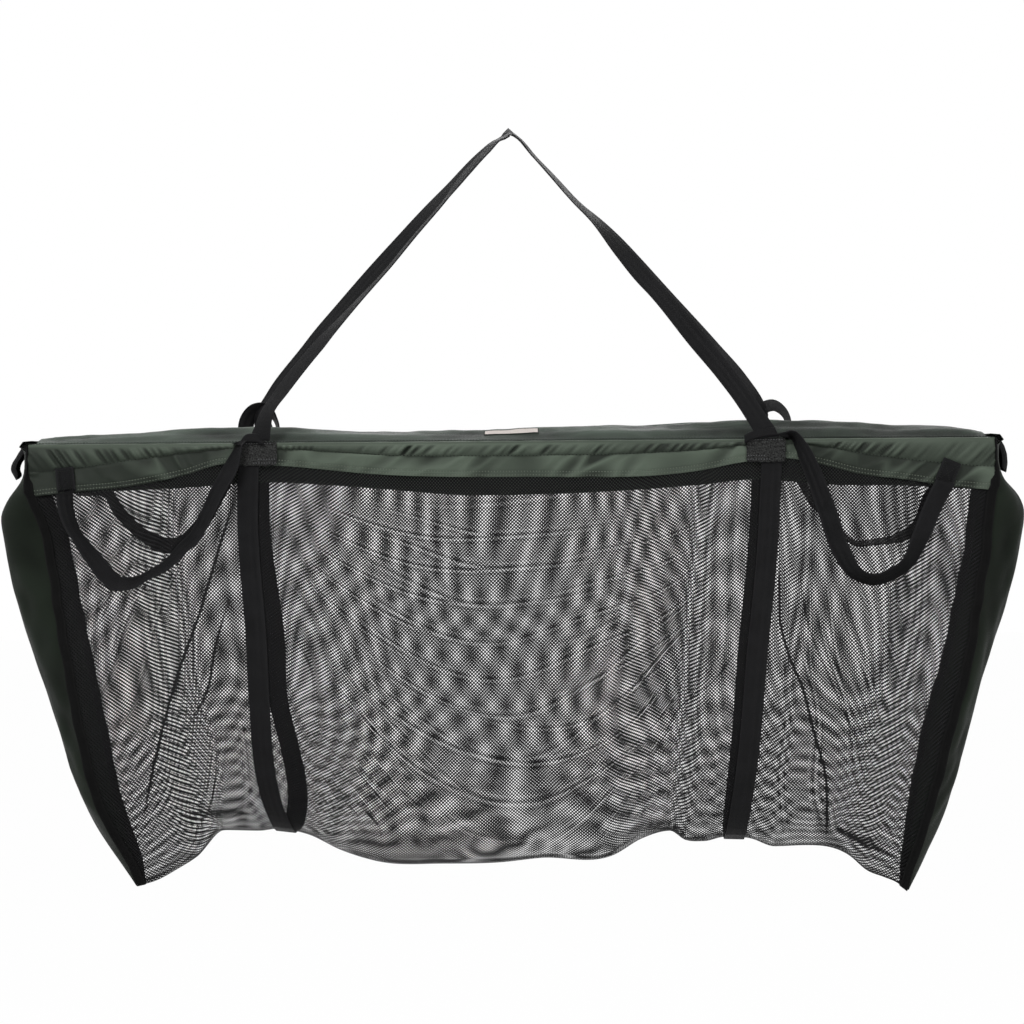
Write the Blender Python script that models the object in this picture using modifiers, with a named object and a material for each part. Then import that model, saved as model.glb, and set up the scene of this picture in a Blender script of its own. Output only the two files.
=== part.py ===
"""Carp retainer: a floating net bag with a zipped roof that hangs by two long webbing handles.

Metres, +Z up. The origin is the seat of the two main handles on a hook. +X runs along the bag and the front
is towards -Y. Heights on the bag are depths below the crease, where the roof meets the rim.
"""

import math

import bmesh
import bpy
import numpy as np
from mathutils import Vector

MM = 0.001

# The hang: from the seat on the hook down to the crease.
HANG = 369 * MM
# The lean of each main handle is set by its seat on the hook, beside the other handle.
HANDLE_SEAT_Y = 13.5 * MM

# Rim: its half length, and the depth of its band and of its tunnel at four places along it.
RIM_HALF = 580 * MM
STRAP_TOP_X = 314 * MM
STRAP_LOW_X = 272 * MM
SIDE_PANEL_X = (STRAP_TOP_X + RIM_HALF) / 2
BAND_MIDDLE = 42 * MM
BAND_AT_STRAP = 25 * MM
BAND_SIDE_PANEL = 46 * MM
BAND_END = 60 * MM
REAR_BAND_EXTRA = 18 * MM
TUNNEL_MIDDLE = 17 * MM
TUNNEL_AT_STRAP = 9 * MM
TUNNEL_SIDE_PANEL = 21 * MM
TUNNEL_END = 28 * MM
TUNNEL_WIDTH = 24 * MM
TUNNEL_SAG = 6 * MM

# Bag: half depth at the rim and at the belly, and the bulge between the straps.
RIM_HALF_DEPTH = 54 * MM
BELLY_HALF_DEPTH = RIM_HALF_DEPTH + 22 * MM
PILLOW = 9 * MM
BELLY_AT = 0.6
FOLD_HEIGHT = 6 * MM
SWAGS = 3
# Depth of the bag's bottom at places along its length.
BOTTOM_MIDDLE = 514 * MM
BOTTOM_SWAG_END = 482 * MM
BOTTOM_AT_STRAP = 476 * MM
BOTTOM_TIP = 545 * MM
SWAG_END_X = 195 * MM
TIP_X = 0.79 * RIM_HALF
# Half length of the bag at its seams, and the gusset's reach past them.
SEAM_SHOULDER = 0.976 * RIM_HALF
SEAM_WAIST = 0.926 * RIM_HALF
SEAM_LOW = 0.862 * RIM_HALF
GUSSET_END_X = RIM_HALF + 12 * MM
GUSSET_BULGE_X = RIM_HALF + 44 * MM
GUSSET_WAIST_X = 0.984 * RIM_HALF
GUSSET_LOW_X = 0.895 * RIM_HALF
GUSSET_TIP = 8 * MM
# The gusset's top edge is turned in under the ends of the roof.
LIP_INSET = 17 * MM
LIP_RISE = 4.5 * MM

# Roof: ridge heights over the crease, the flap's outer edge and its edge at the zip.
RIDGE_MIDDLE = 13 * MM
RIDGE_AT_STRAP = 19 * MM
RIDGE_END = 9 * MM
FLAP_HALF = RIM_HALF - 9 * MM
FLAP_HINGE_Y = RIM_HALF_DEPTH - 4 * MM
RIDGE_Y = 0.44 * FLAP_HINGE_Y
FLAP_RISE = 2.2 * MM
FLAP_EDGE_Y = 9 * MM
FLAP_ROUND = 2.5 * MM
ZIP_RISE = 4 * MM

# Cloth and webbing.
NET = 1.2 * MM
CLOTH = 1.2 * MM
FLAP_CLOTH = 1.4 * MM
WEB = 1.6 * MM
BINDING = 1.0 * MM
STRAP_WIDTH = 25 * MM
SIDE_HANDLE_WIDTH = 20 * MM
BINDING_WIDTH = 15 * MM
GAP = 0.3 * MM
HEM_TUCK = 8 * MM
SLEEVE_CORNER = 2.5 * MM

# Anchors on the rims.
PATCH_WIDTH = 48 * MM
PATCH_HEIGHT = 29 * MM
PATCH_X = STRAP_TOP_X - 6 * MM
PATCH_THICK = 1.5 * MM
PATCH_TOP = -1.5 * MM
HANDLE_FOOT_X = PATCH_X - 6 * MM
SIDE_FOOT_X = PATCH_X + 17 * MM
REAR_SIDE_FOOT_X = PATCH_X + 39 * MM
FOOT_RISE = 2.5 * MM
FOOT_STAND_OFF = 1.2 * MM
SEWN_END_X = RIM_HALF - 45 * MM
SEWN_END_TOP = 28 * MM

# Side handles: how far the lowest part of the longest loop drops and stands out, and how far the
# webbing turns there, in radians.
SIDE_HANDLE_DROP = 170 * MM
SIDE_HANDLE_OUT = 17 * MM
SIDE_HANDLE_TURN = 0.6

# Main handles: half the flat part on the hook, and where the webbing has turned a quarter.
APEX_FLAT = 5 * MM
TURN_FROM = 0.04
TURN_TO = 0.54

# Stiff bends of webbing beside the rear side handles' feet.
BEND_WIDTH = 10 * MM
BEND_SPAN = 17 * MM
BEND_HEIGHT = 46 * MM
BEND_INSET = 15 * MM

# Zip.
COIL_WIDTH = 2.6 * MM
COIL_HEIGHT = 2.2 * MM
COIL_SPREAD = 1.6 * MM
ZIP_TAPE = 0.8 * MM
ZIP_TAPE_LAP = 5 * MM
ZIP_END_WIDTH = 24 * MM
ZIP_GARAGE = 34 * MM
SLIDER_LENGTH = 20 * MM
SLIDER_WIDTH = 12 * MM
SLIDER_PLATE = 1.4 * MM
SLIDER_POST = 4 * MM
BAIL_HEIGHT = 4.2 * MM
BAIL_BAR = 1.2 * MM
BAIL_REACH = 4 * MM
BAIL_WIDTH = 3 * MM
PULL_LENGTH = 38 * MM
PULL_WIDTH = 8 * MM
PULL_THICK = 1.6 * MM
PULL_RIM = 1.1 * MM
PULL_WINDOW = 6.6 * MM
# How far pieces that become one solid run into each other.
JOIN = 0.2 * MM

# Floats, kept clear of the sleeve round them.
FLOAT_CLEAR = 1.0 * MM
FLOAT_DEPTH = 19 * MM
FLOAT_MIDDLE_HALF = STRAP_TOP_X - 94 * MM
FLOAT_SIDE_FROM = STRAP_TOP_X + 71 * MM
FLOAT_SIDE_TO = RIM_HALF - 15 * MM

# Label on the roof's front slope.
LABEL_LENGTH = 66 * MM
LABEL_WIDTH = 11 * MM
LABEL_THICK = 0.6 * MM

# The rim's layers, outwards from the net, as distances from the bag's middle plane.
BAND_OUT = RIM_HALF_DEPTH + NET / 2 + GAP + CLOTH / 2
BAND_IN = RIM_HALF_DEPTH - NET / 2 - GAP - CLOTH / 2
BAND_FACE = BAND_OUT + CLOTH / 2
STRAP_FACE = BAND_FACE + GAP + WEB
PATCH_FACE = STRAP_FACE + GAP + PATCH_THICK
TUNNEL_INNER = BAND_OUT - TUNNEL_WIDTH
# The line on which the handles' feet swing, just outside the patches.
FOOT_Y = PATCH_FACE + FOOT_STAND_OFF


def clear_scene():
    for obj in list(bpy.data.objects):
        bpy.data.objects.remove(obj, do_unlink=True)


def collection(name):
    made = bpy.data.collections.new(name)
    bpy.context.scene.collection.children.link(made)
    return made


clear_scene()
PARTS = collection("carp_retainer")


def material(name, colour, roughness):
    made = bpy.data.materials.new(name)
    made.use_nodes = True
    shader = made.node_tree.nodes["Principled BSDF"]
    shader.inputs["Base Color"].default_value = (*colour, 1.0)
    shader.inputs["Roughness"].default_value = roughness
    return made


LOOKS = {
    "net": ((0.012, 0.012, 0.013), 0.7),
    "green_cloth": ((0.060, 0.085, 0.060), 0.5),
    "gusset_cloth": ((0.030, 0.042, 0.030), 0.5),
    "webbing": ((0.011, 0.011, 0.012), 0.6),
    "patch": ((0.030, 0.030, 0.032), 0.85),
    "zip": ((0.012, 0.012, 0.012), 0.4),
    "foam": ((0.30, 0.30, 0.30), 0.9),
    "label": ((0.75, 0.72, 0.68), 0.6),
}


def finish(obj, look):
    """Puts an object in the parts collection with a material of its own."""
    for holder in list(obj.users_collection):
        holder.objects.unlink(obj)
    PARTS.objects.link(obj)
    colour, roughness = LOOKS[look]
    obj.data.materials.clear()
    obj.data.materials.append(material(obj.name + "_material", colour, roughness))
    return obj


def attach(child, parent):
    """Parents a piece, both placed by location alone."""
    child.parent = parent
    child.location = child.location - parent.location


def grid_mesh(name, rows, origin):
    """A surface of quads through rows of points."""
    mesh = bpy.data.meshes.new(name)
    shape = bmesh.new()
    verts = [[shape.verts.new(Vector(p) - origin) for p in row] for row in rows]
    for low, high in zip(verts, verts[1:]):
        for i in range(len(low) - 1):
            shape.faces.new((low[i], low[i + 1], high[i + 1], high[i]))
    shape.normal_update()
    shape.to_mesh(mesh)
    shape.free()
    return mesh


def sheet(name, rows, thickness, look, origin=(0, 0, 0)):
    """Cloth or webbing: a surface given its thickness half to each side."""
    origin = Vector(origin)
    obj = bpy.data.objects.new(name, grid_mesh(name, rows, origin))
    obj.location = origin
    solid = obj.modifiers.new("Thickness", "SOLIDIFY")
    solid.thickness = thickness
    solid.offset = 0.0
    solid.use_even_offset = True
    finish(obj, look)
    obj.data.shade_smooth()
    return obj


def box(name, low, high, look, bevel=0.0, origin=(0, 0, 0)):
    """A block between two corners, its edges rounded by bevel."""
    low, high, origin = Vector(low), Vector(high), Vector(origin)
    bpy.ops.mesh.primitive_cube_add(size=1.0, location=origin)
    obj = bpy.context.active_object
    obj.name = obj.data.name = name
    middle = (low + high) / 2 - origin
    size = high - low
    for vert in obj.data.vertices:
        vert.co = Vector(c * s for c, s in zip(vert.co, size)) + middle
    if bevel:
        rounding = obj.modifiers.new("Rounding", "BEVEL")
        rounding.width = bevel
        rounding.segments = 2
        rounding.limit_method = "ANGLE"
    return finish(obj, look)


def through(knots, at):
    """The value at a place on the smooth curve through (place, value) knots."""
    places, values = np.array(sorted(knots)).T
    slopes = np.gradient(values, places)
    turns = np.diff(values[:-1]) * np.diff(values[1:]) <= 0
    slopes[1:-1][turns] = 0
    at = min(max(at, places[0]), places[-1])
    i = min(max(int(np.searchsorted(places, at)) - 1, 0), len(places) - 2)
    step = places[i + 1] - places[i]
    s = (at - places[i]) / step
    return float(
        (1 + 2 * s) * (1 - s) ** 2 * values[i]
        + s * (1 - s) ** 2 * step * slopes[i]
        + s * s * (3 - 2 * s) * values[i + 1]
        + s * s * (s - 1) * step * slopes[i + 1]
    )


def at_height(depth):
    """World height of a place so far below the crease."""
    return -HANG - depth


FOOT_Z = at_height(-FOOT_RISE)


def hem(x, side):
    """Depth of the band's lower edge. side is -1 at the front and 1 at the rear, whose band is deeper."""
    x = abs(x)
    front = through(
        [
            (0, BAND_MIDDLE),
            (STRAP_TOP_X, BAND_AT_STRAP),
            (SIDE_PANEL_X, BAND_SIDE_PANEL),
            (RIM_HALF, BAND_END),
        ],
        x,
    )
    return front + (REAR_BAND_EXTRA * (1 - (x / RIM_HALF) ** 4) if side > 0 else 0)


def tunnel(x):
    """Depth of the stitch line under the float tunnel."""
    return through(
        [
            (0, TUNNEL_MIDDLE),
            (STRAP_TOP_X, TUNNEL_AT_STRAP),
            (SIDE_PANEL_X, TUNNEL_SIDE_PANEL),
            (RIM_HALF, TUNNEL_END),
        ],
        abs(x),
    )


def bottom(x):
    """Depth of the bag's lowest line."""
    return through(
        [
            (0, BOTTOM_MIDDLE),
            (SWAG_END_X / 2, BOTTOM_MIDDLE),
            (SWAG_END_X, BOTTOM_SWAG_END),
            (STRAP_LOW_X, BOTTOM_AT_STRAP),
            ((STRAP_LOW_X + TIP_X) / 2, (BOTTOM_AT_STRAP + BOTTOM_TIP) / 2),
            (TIP_X, BOTTOM_TIP),
        ],
        abs(x),
    )


def seam(depth):
    """Half length of the bag at its seams."""
    return through(
        [
            (BAND_END, RIM_HALF),
            (BAND_END * 1.6, SEAM_SHOULDER),
            (BOTTOM_TIP * 0.46, SEAM_WAIST),
            (BOTTOM_TIP * 0.79, SEAM_LOW),
            (BOTTOM_TIP, TIP_X),
        ],
        depth,
    )


def gusset_reach(depth):
    """Half length of the bag over the middle of a gusset."""
    swell = GUSSET_BULGE_X - GUSSET_END_X
    return through(
        [
            (0, GUSSET_END_X),
            (BAND_END * 0.7, GUSSET_END_X + swell * 0.1),
            (BAND_END * 1.15, GUSSET_END_X + swell * 0.8),
            (BAND_END * 1.5, GUSSET_BULGE_X),
            (BAND_END * 2.2, GUSSET_END_X + swell * 0.8),
            (BOTTOM_TIP * 0.54, GUSSET_WAIST_X),
            (BOTTOM_TIP * 0.83, GUSSET_LOW_X),
            (BOTTOM_TIP, TIP_X + GUSSET_TIP),
        ],
        depth,
    )


def strap_x(depth):
    """Middle of a cradle strap."""
    share = min(max(depth / BOTTOM_AT_STRAP, 0), 1)
    return STRAP_TOP_X + (STRAP_LOW_X - STRAP_TOP_X) * share**1.5


# The wall's columns: middle of the bag, strap, binding and seam, with how many steps lead to each.
CENTRE_STEPS, STRAP_STEPS, SIDE_STEPS, BINDING_STEPS = 5, 1, 5, 1
HALF_COLUMNS = CENTRE_STEPS + STRAP_STEPS + SIDE_STEPS + BINDING_STEPS
STRAP_COLUMNS = (CENTRE_STEPS, CENTRE_STEPS + STRAP_STEPS)
# The wall's rows, as shares of the way from the hem to the bottom.
WALL_SHARES = (0, 0.11, 0.22, 0.33, 0.44, 0.55, 0.66, 0.76, 0.85, 0.925, 0.98, 1)


def column_x(column, depth):
    """Where a wall column lies at a depth. Columns count from the middle of the bag."""
    strap, edge = strap_x(depth), seam(depth)
    stops = (0, strap - STRAP_WIDTH / 2, strap + STRAP_WIDTH / 2, edge - BINDING_WIDTH, edge)
    steps = np.cumsum((0, CENTRE_STEPS, STRAP_STEPS, SIDE_STEPS, BINDING_STEPS))
    return math.copysign(float(np.interp(abs(column), steps, stops)), column)


def bottom_of(column):
    """Depth of the bottom in a wall column."""
    depth = BOTTOM_AT_STRAP
    for _ in range(6):
        depth = bottom(column_x(column, depth))
    return depth


def fold(column, share):
    """Folds of the hanging net: swags between the straps, rays from each strap's top beside them."""
    in_strap = CENTRE_STEPS
    fade = math.sin(math.pi * min(share / 0.9, 1)) ** 2
    if abs(column) < in_strap:
        across = abs(column) / in_strap
        swag = share / (1 - 0.5 * across**2)
        return FOLD_HEIGHT * fade * (1 - across**2) * math.sin(2 * math.pi * SWAGS * swag)
    past = abs(column) - in_strap - STRAP_STEPS
    if 0 < past < SIDE_STEPS:
        across = past / SIDE_STEPS
        ray = across / (share + 0.25)
        return FOLD_HEIGHT * 0.8 * fade * math.sin(math.pi * across) * math.sin(2 * math.pi * ray)
    return 0.0


def half_depth(column, share):
    """How far the wall stands from the bag's middle plane."""
    across = abs(column) / HALF_COLUMNS
    strap_at = (CENTRE_STEPS + STRAP_STEPS / 2) / HALF_COLUMNS
    if across < strap_at:
        pillow = math.cos(math.pi / 2 * across / strap_at) ** 2
    else:
        pillow = math.sin(math.pi * (across - strap_at) / (1 - strap_at)) ** 2
    belly = BELLY_HALF_DEPTH + PILLOW * pillow
    if share <= BELLY_AT:
        rise = math.sin(math.pi / 2 * share / BELLY_AT) ** 2
        return RIM_HALF_DEPTH + (belly - RIM_HALF_DEPTH) * rise + fold(column, share)
    down = (share - BELLY_AT) / (1 - BELLY_AT)
    # Round under the belly, pointed at the two tips.
    return belly * (1 - down**2) ** (0.5 + 0.5 * across**4) + fold(column, share)


def wall_point(column, share, side):
    x_hem = column_x(column, BAND_END)
    start = hem(x_hem, side) + GAP
    depth = start + (bottom_of(column) - start) * share
    x = column_x(column, depth)
    return Vector((x, side * half_depth(column, share), at_height(depth)))


def tucked_point(column, side):
    """Top edge of the net, inside the hem."""
    low = wall_point(column, 0, side)
    return low + Vector((0, 0, HEM_TUCK + GAP))


def wall_rows(columns):
    """The wall from the front hem under the belly to the rear hem, one row for each share."""
    front = [[wall_point(c, s, -1) for c in columns] for s in WALL_SHARES]
    rear = [[wall_point(c, s, 1) for c in columns] for s in WALL_SHARES[-2::-1]]
    return front + rear


def off_surface(rows, distance):
    """Rows of points moved along the surface's own normals. Rows run down and columns run along +X."""
    points = np.array([[tuple(p) for p in row] for row in rows])
    along = np.gradient(points, axis=1)
    down = np.gradient(points, axis=0)
    normals = np.cross(down, along)
    normals /= np.linalg.norm(normals, axis=2, keepdims=True)
    return [[Vector(p) for p in row] for row in points + normals * distance]


def mirrored(columns, right):
    """A band's columns on the left or the right half, in the order of +X."""
    return columns if right else [-c for c in reversed(columns)]


def build_net():
    columns = list(range(-HALF_COLUMNS, HALF_COLUMNS + 1))
    rows = [[tucked_point(c, -1) for c in columns]]
    rows += wall_rows(columns)
    rows += [[tucked_point(c, 1) for c in columns]]
    sheet("net_body", rows, NET, "net")


def build_cradle_straps():
    """Webbing under the bag, over the net and up over both bands to its ends under the patches."""
    over_band = BAND_FACE + GAP + WEB / 2
    top = at_height(PATCH_TOP + PATCH_HEIGHT / 3)
    for label, right in (("left", False), ("right", True)):
        columns = mirrored(list(STRAP_COLUMNS), right)
        rows = off_surface(wall_rows(columns), NET / 2 + GAP + WEB / 2)
        rows[0] = [Vector((p.x, -over_band, p.z)) for p in rows[0]]
        rows[-1] = [Vector((p.x, over_band, p.z)) for p in rows[-1]]
        front_end = [Vector((p.x, p.y, top)) for p in rows[0]]
        rear_end = [Vector((p.x, p.y, top)) for p in rows[-1]]
        sheet("cradle_strap_" + label, [front_end, *rows, rear_end], WEB, "webbing")


def build_bindings():
    """Tape over the seams between the net and the gussets."""
    over_net = NET / 2 + GAP + BINDING / 2
    columns = [HALF_COLUMNS - BINDING_STEPS, HALF_COLUMNS]
    for label, right in (("left", False), ("right", True)):
        for end, side in (("front", -1), ("rear", 1)):
            rows = off_surface(wall_rows(mirrored(columns, right)), over_net)
            bottom_row = len(WALL_SHARES) - 1
            rows = rows[:bottom_row] if side < 0 else rows[bottom_row + 1 :]
            first, last = (0, -1) if side < 0 else (-1, 0)
            # The tape starts just under the hem and stops short of the one on the other side.
            rows[first] = [p - Vector((0, 0, 2 * GAP)) for p in rows[first]]
            rows[last] = [p + Vector((0, side * GAP, 0)) for p in rows[last]]
            sheet(f"binding_{end}_{label}", rows, BINDING, "webbing")


def sleeve_section(x, side):
    """The folded cloth of a rim: hem, tunnel round the float, and hem again behind the net."""
    low, stitch = hem(x, side), tunnel(x)
    floor, corner = stitch + TUNNEL_SAG, SLEEVE_CORNER
    outline = (
        (BAND_OUT, low),
        (BAND_OUT, stitch),
        (BAND_OUT, corner),
        (BAND_OUT - corner, 0),
        (TUNNEL_INNER + corner, 0),
        (TUNNEL_INNER, corner),
        (TUNNEL_INNER, floor),
        (TUNNEL_INNER + corner, floor + corner),
        (BAND_IN - corner, floor + corner),
        (BAND_IN, floor + 2 * corner),
        (BAND_IN, low),
    )
    return [Vector((x, side * y, at_height(depth))) for y, depth in outline]


def build_rims():
    stops = (0, 0.12, 0.24, 0.35, 0.44, 0.5, 0.54, 0.58, 0.66, 0.76, 0.86, 1)
    places = [-RIM_HALF * s for s in stops[:0:-1]] + [RIM_HALF * s for s in stops]
    for label, side in (("front", -1), ("rear", 1)):
        rows = [sleeve_section(x, side) for x in places]
        sheet("rim_sleeve_" + label, rows, CLOTH, "green_cloth")
        build_floats(label, side)


def build_floats(label, side):
    """Closed-cell foam bars in the tunnel, parted where the webbing is sewn through it."""
    spans = {
        "middle": (-FLOAT_MIDDLE_HALF, FLOAT_MIDDLE_HALF),
        "left": (-FLOAT_SIDE_TO, -FLOAT_SIDE_FROM),
        "right": (FLOAT_SIDE_FROM, FLOAT_SIDE_TO),
    }
    inner = side * (TUNNEL_INNER + CLOTH / 2 + FLOAT_CLEAR)
    outer = side * (TUNNEL_INNER + CLOTH / 2 + FLOAT_CLEAR + FLOAT_DEPTH)
    for place, (start, end) in spans.items():
        low = min(tunnel(start), tunnel(end)) + TUNNEL_SAG
        top = CLOTH / 2 + FLOAT_CLEAR
        box(
            f"float_{label}_{place}",
            (start, min(inner, outer), at_height(low)),
            (end, max(inner, outer), at_height(top)),
            "foam",
            bevel=FLOAT_CLEAR * 2,
        )


# The gusset's lip in the bag's middle plane, as (half length, depth).
LIP = (
    (GUSSET_END_X - LIP_INSET, -LIP_RISE),
    (GUSSET_END_X - LIP_INSET / 3, -LIP_RISE * 0.8),
    (GUSSET_END_X - CLOTH, CLOTH * 2),
)


def build_gussets():
    """Lens-shaped ends: they close the rims, bulge under them and run out in the two tips."""
    spread = np.sin(np.linspace(-math.pi / 2, math.pi / 2, 9))
    seam_off = NET / 2 + GAP
    tip_half_depth = 3 * MM
    for label, sign in (("left", -1), ("right", 1)):
        rows = []
        for x, depth in LIP:
            rows.append([Vector((sign * x, RIM_HALF_DEPTH * w, at_height(depth))) for w in spread])
        for depth in (BAND_END * 0.5, BAND_END * 0.8):
            edge = RIM_HALF + CLOTH / 2 + GAP
            rows.append(gusset_row(sign, depth, edge, RIM_HALF_DEPTH, spread))
        for share in WALL_SHARES:
            point = wall_point(HALF_COLUMNS, share, -1)
            depth = -HANG - point.z
            half = max(-point.y, tip_half_depth)
            rows.append(gusset_row(sign, depth, point.x + seam_off, half, spread))
        sheet("gusset_" + label, rows, CLOTH, "gusset_cloth")


def gusset_row(sign, depth, edge, half, spread):
    """One level of a gusset, from its front seam over the bulge to its rear seam."""
    reach = max(gusset_reach(depth) - edge, CLOTH)
    return [
        Vector((sign * (edge + reach * (1 - abs(w) ** 2.4)), half * w, at_height(depth)))
        for w in spread
    ]


def ridge(x):
    return through(
        [
            (0, RIDGE_MIDDLE),
            (STRAP_TOP_X, RIDGE_AT_STRAP),
            (FLAP_HALF, RIDGE_END),
        ],
        abs(x),
    )


def flap_section(x, side):
    """A flap from its hinge over the ridge to its edge at the zip, as (y, rise)."""
    slope = (ridge(x) - FLAP_RISE) / (FLAP_HINGE_Y - RIDGE_Y)
    halfway = (FLAP_HINGE_Y + RIDGE_Y) / 2
    return [
        (side * FLAP_HINGE_Y, FLAP_RISE),
        (side * halfway, FLAP_RISE + slope * (FLAP_HINGE_Y - halfway)),
        (side * RIDGE_Y, ridge(x)),
        (side * (RIDGE_Y + FLAP_EDGE_Y) / 2, (ridge(x) + ZIP_RISE) / 2 + FLAP_ROUND),
        (side * FLAP_EDGE_Y, ZIP_RISE + FLAP_CLOTH),
    ]


# Height of the middle of the zip's tapes and coils, which hang under the flaps' edges.
ZIP_Z = at_height(-ZIP_RISE - GAP) - ZIP_TAPE / 2


def build_roof():
    """Two flaps with the zip's tapes and coils on their edges."""
    stops = (0, 0.14, 0.28, 0.42, 0.55, 0.68, 0.84, 1)
    places = [-FLAP_HALF * s for s in stops[:0:-1]] + [FLAP_HALF * s for s in stops]
    flaps = {}
    for label, side in (("front", -1), ("rear", 1)):
        hinge = Vector((0, side * FLAP_HINGE_Y, at_height(-FLAP_RISE)))
        rows = [
            [Vector((x, y, at_height(-rise))) for y, rise in flap_section(x, side)] for x in places
        ]
        flaps[label] = sheet("roof_flap_" + label, rows, FLAP_CLOTH, "green_cloth", hinge)
        # The rear row stops short at both ends, so that the slider parks clear of it.
        half = FLAP_HALF - 2 * CLOTH - (ZIP_GARAGE if side > 0 else 0)
        coil_inner = COIL_SPREAD / 2
        coil_outer = coil_inner + COIL_WIDTH
        coil = zip_strip("coil", label, half, (coil_inner, coil_outer), COIL_HEIGHT, hinge)
        tape_span = (coil_outer + GAP, FLAP_EDGE_Y + ZIP_TAPE_LAP)
        tape = zip_strip("tape", label, half, tape_span, ZIP_TAPE, hinge)
        attach(coil, flaps[label])
        attach(tape, flaps[label])
    build_label(flaps["front"])
    build_slider(flaps["front"])


def zip_strip(kind, label, half, span, height, hinge):
    """A strip along the zip between two distances from its middle, on the front or rear row."""
    side = -1 if label == "front" else 1
    near, far = sorted(side * y for y in span)
    return box(
        f"zip_{kind}_{label}",
        (-half, near, ZIP_Z - height / 2),
        (half, far, ZIP_Z + height / 2),
        "zip",
        bevel=height / 4 if kind == "coil" else 0,
        origin=hinge,
    )


def build_label(flap):
    """A blank label on the front slope, clear of the flap's facets by twice the gap."""
    rows = []
    middle = -(FLAP_HINGE_Y + RIDGE_Y * 2) / 3
    lift = FLAP_CLOTH / 2 + 2 * GAP + LABEL_THICK / 2
    for x in (-LABEL_LENGTH / 2, LABEL_LENGTH / 2):
        slope = (ridge(x) - FLAP_RISE) / (FLAP_HINGE_Y - RIDGE_Y)
        along = Vector((0, 1, slope)).normalized()
        up = Vector((0, -slope, 1)).normalized()
        rise = FLAP_RISE + slope * (middle + FLAP_HINGE_Y)
        centre = Vector((x, middle, at_height(-rise))) + up * lift
        rows.append([centre - along * LABEL_WIDTH / 2, centre + along * LABEL_WIDTH / 2])
    label = sheet("label", rows, LABEL_THICK, "label", flap.location)
    attach(label, flap)


def combined(base, others, operation):
    """One solid from a base and the pieces that are joined to it or cut from it."""
    for other in others:
        step = base.modifiers.new("Step", "BOOLEAN")
        step.operation = operation
        step.object = other
    graph = bpy.context.evaluated_depsgraph_get()
    mesh = bpy.data.meshes.new_from_object(base.evaluated_get(graph))
    base.modifiers.clear()
    base.data = mesh
    for other in others:
        bpy.data.objects.remove(other)
    return base


def build_slider(flap):
    """Two plates held by a post between the coils, a bail on top, and the pull tab that hangs on it."""
    origin = Vector((-FLAP_HALF + ZIP_GARAGE / 2, 0, ZIP_Z))
    half_x, half_y = SLIDER_LENGTH / 2, SLIDER_WIDTH / 2
    post_y, bail_y = COIL_SPREAD / 2 - GAP, BAIL_WIDTH / 2
    inside = COIL_HEIGHT / 2 + GAP
    roof = inside + SLIDER_PLATE
    bail_top = roof + BAIL_HEIGHT
    bail_foot = (BAIL_REACH - BAIL_BAR, BAIL_REACH)

    def block(low, high, bevel=0.0):
        return box("zip_slider", origin + Vector(low), origin + Vector(high), "zip", bevel, origin)

    rounding = SLIDER_PLATE / 3
    base = block((-half_x, -half_y, inside), (half_x, half_y, roof), rounding)
    others = [
        block((-half_x, -half_y, -roof), (half_x, half_y, -inside), rounding),
        block(
            (-half_x + JOIN, -post_y, -inside - JOIN),
            (-half_x + SLIDER_POST, post_y, inside + JOIN),
        ),
        block((-bail_foot[1], -bail_y, roof - JOIN), (-bail_foot[0], bail_y, bail_top - JOIN)),
        block((bail_foot[0], -bail_y, roof - JOIN), (bail_foot[1], bail_y, bail_top - JOIN)),
        block((-BAIL_REACH, -bail_y, bail_top - BAIL_BAR), (BAIL_REACH, bail_y, bail_top)),
    ]
    slider = combined(base, others, "UNION")
    slider.name = slider.data.name = "zip_slider"
    attach(slider, flap)
    build_pull(slider, origin, roof)


def build_pull(slider, origin, roof):
    """A flat tab lying along the zip. The end bar of its window turns inside the bail."""
    bar_swing = math.hypot(PULL_RIM, PULL_THICK) / 2
    x = BAIL_REACH - BAIL_BAR - bar_swing - GAP / 2
    hinge = origin + Vector((x, 0, roof + (BAIL_HEIGHT - BAIL_BAR) / 2))
    half_y, half_z = PULL_WIDTH / 2, PULL_THICK / 2
    window_from, window_y = PULL_RIM / 2, BAIL_WIDTH / 2 + GAP

    def block(name, low, high, bevel=0.0):
        return box(name, hinge + Vector(low), hinge + Vector(high), "zip", bevel, hinge)

    tab = block(
        "pull_tab",
        (window_from - PULL_RIM, -half_y, -half_z),
        (PULL_LENGTH, half_y, half_z),
        PULL_THICK / 5,
    )
    window = block(
        "window",
        (window_from, -window_y, -PULL_THICK),
        (window_from + PULL_WINDOW, window_y, PULL_THICK),
    )
    combined(tab, [window], "DIFFERENCE")
    tab.parent = slider
    tab.location = hinge - origin


def build_zip_ends():
    """The ends of the zip tape, turned down over the gussets and standing off them a little."""
    half = ZIP_END_WIDTH / 2
    lift = CLOTH / 2 + GAP + ZIP_TAPE / 2
    shoulder, middle, end = CLOTH, BAND_END / 4, BAND_END / 2
    (lip_x, lip_depth), (round_x, round_depth) = LIP[:2]
    path = [
        (lip_x, lip_depth - lift),
        (round_x + lift, round_depth - lift * 1.3),
        (GUSSET_END_X + lift * 1.5, shoulder),
        (gusset_reach(middle) + lift * 3, middle),
        (gusset_reach(end) + lift * 2, end),
    ]
    for label, sign in (("left", -1), ("right", 1)):
        rows = [
            [Vector((sign * x, y, at_height(depth))) for y in (-half, 0, half)] for x, depth in path
        ]
        sheet("zip_end_" + label, rows, ZIP_TAPE, "zip")


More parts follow.
